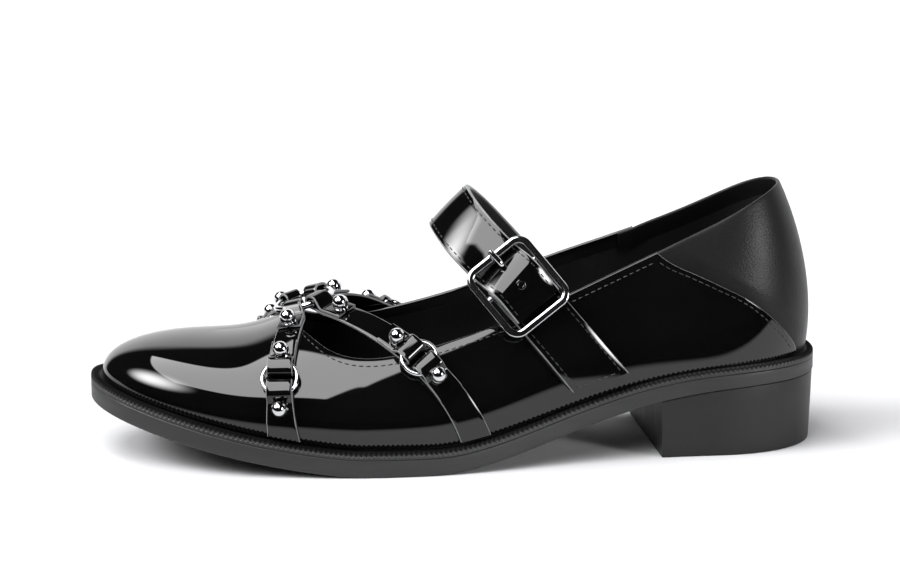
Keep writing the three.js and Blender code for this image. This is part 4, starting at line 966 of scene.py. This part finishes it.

# the straps' cut edges take the pale edge finish, partly their own colour and partly a painted
# highlight
strap_finishes = [patent, cut_edge_painted_sheen, patent]
sewing = []
for arm in ARMS:
    for side, side_name in ((-1.0, "outer"), (1.0, "inner")):
        name = f"{arm['arm']}_{side_name}"
        mirror = np.array([1, side, 1])
        through, plane = np.array(arm["through"]) * mirror, np.array(arm["plane"]) * mirror
        route = plane_route(side, through, plane, 1, 0, HARNESS_CLEAR)

        def big_circle(angle):
            angle = np.asarray(angle)[..., None]
            return ring_centre + BIG_RING * (ring_along * np.cos(angle)
                + np.array([0, side, 0]) * np.sin(angle))
        meet = crossing(lambda a: -dot(big_circle(a) - through, plane), *arm["meet"], steps=40)
        wire = big_circle(meet)[0]
        big = route.locate(wire, 0.0, 30.0)
        _, tangent, normal, aside = route.spot(big[0])
        big_span = wire_span(wire, big_circle, tangent, normal, aside)

        small_at = route.length_at_height(arm["ring"], 10.0, route.length)
        point, tangent, normal, aside = route.spot(small_at)
        centre = point + normal * (PLY + SLACK + SMALL_WIRE + RING_RISE)

        def small_circle(angle):
            angle = np.asarray(angle)[..., None]
            return centre + SMALL_RING * (tangent * np.cos(angle) + aside * np.sin(angle))
        upper_wire, lower_wire = (route.locate(small_circle(np.array(a))) for a in (np.pi, 0.0))
        upper_span, lower_span = (wire_span(small_circle(np.array(a)), small_circle, tangent,
            normal, aside) for a in (np.pi, 0.0))

        big_fold = fold(big, big_span, BIG_WIRE, 1, 3.4)
        upper_fold = fold(upper_wire, upper_span, SMALL_WIRE, -1, 2.4)[::-1]
        lower_fold = fold(lower_wire, lower_span, SMALL_WIRE, 1, 2.4)
        upper_path = np.concatenate([
            stretch(big[0] + arm["tab"], big_fold[0][0] + 1.5, STACK, 3), big_fold,
            stretch(big_fold[-1][0] + 3, upper_fold[0][0] - 2, LAYER, 4), upper_fold,
            stretch(upper_fold[-1][0] - 1.5, upper_wire[0] - TAB, STACK, 3)])
        end = route.length - FOOT_RISE
        lower_path = np.concatenate([
            stretch(lower_wire[0] + TAB, lower_fold[0][0] + 1.5, STACK, 3), lower_fold,
            stretch(lower_fold[-1][0] + 3, end, LAYER, 4)])

        def upper_width(s):
            return FOLD_WIDTH + (HARNESS_WIDTH - FOLD_WIDTH) * ease(s, big[0] - 3, big[0] + 6)

        def lower_width(s):
            spread = np.clip((s - small_at - 8) / (end - small_at - 8), 0, 1)
            return HARNESS_WIDTH + (FOOT_WIDTH - HARNESS_WIDTH) * spread

        for place, path, width, skew in (("upper", upper_path, upper_width, 0.0),
                ("lower", lower_path, lower_width, foot_skew(route, end))):
            skin, middle, face, way = strap(route, path, PLY, width, skew, crown=0.08)
            make_piece(f"{name}_{place}_band", [f"{name}_{place}_strap"], [skin],
                strap_finishes, sharp=35.0)
        make_piece(f"{name}_ring_wire", [f"{name}_ring"], [(ring_skin(centre, tangent,
            np.cross(normal, tangent), SMALL_RING, SMALL_WIRE), 0)], [chrome])

        for place, path, length in (("upper", upper_path, big[0] + arm["studs"][0]),
                ("middle", upper_path, small_at - arm["studs"][1]),
                ("lower", lower_path, small_at + arm["studs"][2])):
            run = fine_path(path)
            seat = run[np.abs(run[:, 0] - length) < 1.6, 1].max() + LAYER + 0.15
            at, *ways = route.spot(length)
            frame_at = (at + ways[1] * seat, *ways)
            make_piece(f"{name}_{place}_ball_stud", [f"{name}_{place}_stud"],
                [(turned(frame_at, STUD), 0)], [chrome])

# -------- instep strap
# A long strap of patent leather on a black lining, sewn all round, from the inner quarter
# over the instep and through the buckle. A short strap holds the buckle on the outer side.

STRAP_WIDTH, STRAP_THICKNESS, STRAP_CLEAR = 19.8, 2.2, 0.6
SEAM_INSET = 1.9                 # stitches in from the cut edges
BUCKLE_WIDTH, BUCKLE_LENGTH, BUCKLE_BAR, BUCKLE_DEPTH, BUCKLE_CORNER = 28.0, 30.6, 2.7, 2.2, 5.5
CENTRE_BAR, BUCKLE_RISE, BAR_SHIFT, SIDE_SHIFT, BUCKLE_TURN = 1.1, 0.9, 3.5, 0.7, -3.0
PRONG = 1.1
JOIN_HEIGHT, BUCKLE_HEIGHT, INNER_FOOT, OUTER_FOOT = 47.0, 63.2, 31.5, 29.5
ARCH = np.array([[-1.4, 0.0, 86.9], [3.6, 18.2, 79.2], [19.0, 29.2, 63.2]])
ARCH_INNER_SHIFT = np.array([0.0, 2.6, 2.0])
strap_plane = unit(np.array([0.764, 0, 0.645]))
arch_up = unit(np.array([-0.712, 0, 0.702]))


def centripetal(points, count, first, last):
    """Curve through points whose pace follows the square root of their distances, read
    evenly between two of them."""
    pace = np.r_[0, np.cumsum(np.linalg.norm(np.diff(points, axis=0), axis=1) ** 0.5)]
    where = np.linspace(first, last, count + 1)
    i = np.minimum(where.astype(int), last - 1)
    t = pace[i] + (where - i) * (pace[i + 1] - pace[i])

    def blend(a, b, ta, tb):
        share = ((t - ta) / (tb - ta))[:, None]
        return a * (1 - share) + b * share
    p, k = [points[i + n] for n in (-1, 0, 1, 2)], [pace[i + n] for n in (-1, 0, 1, 2)]
    a = [blend(p[n], p[n + 1], k[n], k[n + 1]) for n in range(3)]
    b = [blend(a[n], a[n + 1], k[n], k[n + 2]) for n in range(2)]
    return blend(b[0], b[1], k[1], k[2])


def strap_route(side):
    """Base of the strap on one side: an arch over the instep, then down the quarter."""
    def placed(way):
        rows = ARCH * (1, way, 1)
        return rows + (strap_plane * ARCH_INNER_SHIFT[:, None] if way > 0 else 0)
    rows = placed(side)
    quarter = plane_route(side, rows[-1], strap_plane, 0.62, 0, STRAP_CLEAR, 49)
    join = int(np.argmax(quarter.points[:, 2] < JOIN_HEIGHT))
    arch = np.array([placed(-side)[1], *rows, quarter.points[join], quarter.points[join + 6]])
    count = 40
    points = centripetal(arch, count, 1, 4)
    blend = ease(np.arange(count + 1), 4, 30)[:, None]
    run = np.gradient(points, axis=0)
    aside = np.cross(arch_up, (0, -1, 0)) * (1 - blend) + strap_plane * blend
    level = unit(np.cross(run, aside) * -side)
    normals = unit(level * (1 - blend) + quarter.normals[join] * blend)
    normals[0] = arch_up
    return Route(np.concatenate([points[:-1], quarter.points[join:]]),
        np.concatenate([normals[:-1], quarter.normals[join:]]))


outer_route, inner_route = strap_route(-1.0), strap_route(1.0)
bar_at = outer_route.length_at_height(BUCKLE_HEIGHT, 5.0, 80.0) - BAR_SHIFT
inner_end = inner_route.length_at_height(INNER_FOOT, 30.0, inner_route.length)
outer_end = outer_route.length_at_height(OUTER_FOOT, 30.0, outer_route.length)
over_bar = np.array([[-8.0, 1.2], [-5.0, 3.8], [-2.4, 6.2], [0, 6.9], [2.5, 6.7], [5.5, 5.6],
    [9.5, 4.4], [13.2, 4.0]]) + (bar_at, 0)
paths = ((inner_route, stretch(inner_end, 0, STRAP_THICKNESS / 2, 5)),
    (outer_route, np.concatenate([stretch(5, bar_at - 12, STRAP_THICKNESS / 2, 4.5), over_bar])))
line, out = [], []
for route, path in paths:
    point, _, normal, _ = route.at(path[:, 0])
    line.append(point + normal * path[:, 1:])
    out.append(normal)
line, out = np.concatenate(line), np.concatenate(out)
fine = fine_path(np.column_stack([line, out]), 0.6, 4)
whole = Route(fine[:, :3], unit(fine[:, 3:]))


def full_width(s):
    return np.full(np.shape(s), STRAP_WIDTH)


def edge_rows(middle, face, aside, lift, start, stop):
    """Stitch lines along both edges of a strap, a little in from its cut edges."""
    return [(middle[start:stop] + aside[start:stop] * way * (STRAP_WIDTH / 2 - SEAM_INSET)
        + face[start:stop] * lift, face[start:stop]) for way in (-1, 1)]


strap_length = np.column_stack([np.linspace(0, whole.length, 300), np.zeros(300)])
skin, middle, face, aside = strap(whole, strap_length, STRAP_THICKNESS, full_width,
    crown=0.35, step=0.7)
make_piece("instep_band", ["instep_strap"], [skin],
    [patent, cut_edge_painted_sheen, lining_leather], sharp=35.0)
sewing += edge_rows(middle, face, aside, STRAP_THICKNESS / 2 + 0.08, 2, -3)

around = CENTRE_BAR + SLACK + LAYER
angle = np.linspace(np.pi / 2, np.pi * 1.5, 9)
short_path = np.concatenate([stretch(outer_end, bar_at + 6, STACK, 5),
    [[bar_at + 1.2, LAYER + 2 * around]],
    np.column_stack([bar_at + around * np.cos(angle), LAYER + around + around * np.sin(angle)]),
    stretch(bar_at + 3, outer_end, LAYER, 5)])
lean = foot_skew(outer_route, outer_end)


class Leaning(Route):
    """The outer route, with its way across leaned so the strap's foot follows the feather."""

    def at(self, length):
        point, tangent, normal, aside = super().at(length)
        share = ease(np.atleast_1d(length), outer_end - 14, outer_end)[:, None]
        return point, tangent, normal, aside + tangent * lean * share


leaning = Leaning(outer_route.points, outer_route.normals)
skin, middle, face, aside = strap(leaning, short_path, PLY, full_width, crown=0.12)
make_piece("buckle_band", ["buckle_strap"], [skin], strap_finishes, sharp=35.0)
upper_layer = len(middle) // 2 - 12
face = face * np.sign(dot(face[:5], outer_route.at(outer_end)[2]).mean())
sewing += edge_rows(middle, face, aside, PLY / 2 + 0.1, 3, upper_layer)
foot = np.linspace(-1, 1, 30)[:, None] * (STRAP_WIDTH / 2 - SEAM_INSET)
sewing.append((middle[3] + aside[3] * foot + face[3] * (PLY / 2 + 0.1), face[3] + 0 * foot))

# -------- buckle
# A cast and polished frame with rounded bars, its centre bar inside the short strap's fold,
# and a bent wire prong that goes through a punched hole and rests on the frame.

bar_point, _, bar_out, bar_aside = outer_route.spot(bar_at)
seat = bar_point + bar_out * (PLY + CENTRE_BAR + SLACK)
reach = BUCKLE_LENGTH / 2 - BUCKLE_BAR
ends = outer_route.at(np.array([bar_at + BAR_SHIFT - reach, bar_at + BAR_SHIFT + reach]))[0]
up = unit(ends[0] - ends[1])
sideways = unit(np.cross(up, bar_out))
outwards = np.cross(sideways, up)


def on_buckle(points):
    """Buckle's own axes, across, up and out, placed on its centre bar."""
    return seat + points @ np.array([sideways, up, outwards])


bend = BUCKLE_CORNER - BUCKLE_BAR / 2
half_w, half_l = BUCKLE_WIDTH / 2 - BUCKLE_BAR / 2, BUCKLE_LENGTH / 2 - BUCKLE_BAR / 2
signs = np.repeat([[1, 1, 0], [-1, 1, 0], [-1, -1, 0], [1, -1, 0]], 13, axis=0)
a = np.tile(np.linspace(0, np.pi / 2, 13), 4) + np.repeat(np.arange(4), 13) * np.pi / 2
signs, a = np.concatenate([signs, signs[:1]]), np.r_[a, a[:1]]
frame_out = np.column_stack([np.cos(a), np.sin(a), 0 * a])
frame_line = signs * (half_w - bend, half_l - bend, 0) + bend * frame_out
b = np.linspace(0, 2 * np.pi, 33)
squash = (np.abs(np.cos(b)) ** 4 + np.abs(np.sin(b)) ** 4) ** (-1 / 4)
reach_out = (BUCKLE_BAR / 2 * squash * np.cos(b))[None, :, None]
rise = (BUCKLE_DEPTH / 2 * (1 + squash * np.sin(b)))[None, :, None]
bar_grid = frame_line[:, None] + frame_out[:, None] * reach_out + np.array([0, 0, 1.0]) * rise
tilt = math.radians(BUCKLE_TURN)
spin = np.array([[math.cos(tilt), -math.sin(tilt), 0], [math.sin(tilt), math.cos(tilt), 0],
    [0, 0, 1]])
bar_grid = bar_grid @ spin.T + (-SIDE_SHIFT, -BAR_SHIFT, BUCKLE_RISE)
a = once_round(18)
rod_half = BUCKLE_WIDTH / 2 - BUCKLE_BAR + 1.2
rod_x = np.array([-rod_half, -rod_half, rod_half, rod_half])[:, None, None]
rod_r = np.array([0.0, CENTRE_BAR, CENTRE_BAR, 0.0])[:, None, None]
rod_out = bar_out * np.cos(a) + np.cross(bar_aside, bar_out) * np.sin(a)
rod = seat + bar_aside * rod_x + rod_out * rod_r
make_piece("buckle_frame", ["buckle"], [(on_buckle(bar_grid), 0), (rod, 0)], [chrome])


def tube(line, radius, section=14):
    """Round bar along a line, rounded over at both ends."""
    run = unit(np.gradient(line, axis=0))
    first = unit(np.cross(run, np.array([1.0, 0, 0])))
    second = np.cross(run, first)
    a = once_round(section)
    return line[:, None] + (first[:, None] * np.cos(a) + second[:, None] * np.sin(a)) * radius


prong_top = BUCKLE_RISE + BUCKLE_DEPTH + GAP + PRONG
edge = BUCKLE_LENGTH / 2 - BAR_SHIFT
knots = np.array([[0, 1.6, -0.6], [0, 3.2, 0.2], [0, 4.8, 2.1], [0, 6.6, prong_top - 0.3],
    [0, edge - BUCKLE_BAR / 2, prong_top + 0.1], [0, edge + 0.9, prong_top],
    [0, edge + 3, prong_top - 0.2]])
bent = centripetal(knots, 60, 1, 5)
taper = PRONG * np.sqrt(np.clip(1 - ease(np.arange(61), 57, 60) ** 2, 0, 1))
taper[0] = 0
make_piece("prong_wire", ["prong"],
    [(on_buckle(tube(bent, taper[:, None, None])), 0)], [chrome])

# A second punched hole below the prong's, its edge pressed into a low rim.
at_hole = whole.locate(on_buckle(np.array([0.0, -3.9, 5.0])), whole.length - 30, whole.length)[0]
point, tangent, normal, aside = whole.spot(at_hole)
spot = (point + normal * (STRAP_THICKNESS / 2 + 0.34), tangent, normal, aside)
rim_profile = np.array([[0.0, -0.25], [0.75, -0.22], [1.0, 0.02], [1.2, 0.14], [1.5, 0.13],
    [1.8, -0.02], [2.1, -0.3]])
make_piece("punched_hole_rim", [], [(turned(spot, rim_profile[::-1], 24), 0)],
    [patent])

# -------- stitching
# Black waxed thread: a row along the topline and the back seam, along both edges of the
# instep strap and its buckle strap, and across the buckle strap's foot.

FROM_TOPLINE, FROM_SEAM = 2.6, 2.3
for side in (-1.0, 1.0):
    x = np.linspace(throat_station + 1.0, seam_station(np.array([0.96]), side)[0] - 2.0, 200)
    top = top_turn(x, side)
    p, lower = last_point(x, side, top), last_point(x, side, top - 0.01)
    drop = FROM_TOPLINE / np.linalg.norm(p - lower, axis=1) * 0.01
    sewing.append(off_last(x, side, top - drop))
    up_share = np.linspace(0.04, 0.95, 60)
    x = seam_station(up_share, side) - FROM_SEAM
    sewing.append(off_last(x, side, up_share * top_turn(x, side)))
skins = [skin for line, out in sewing for skin in stitches(line, out)]
make_piece("black_stitches", [], skins, [thread], sharp=80.0)
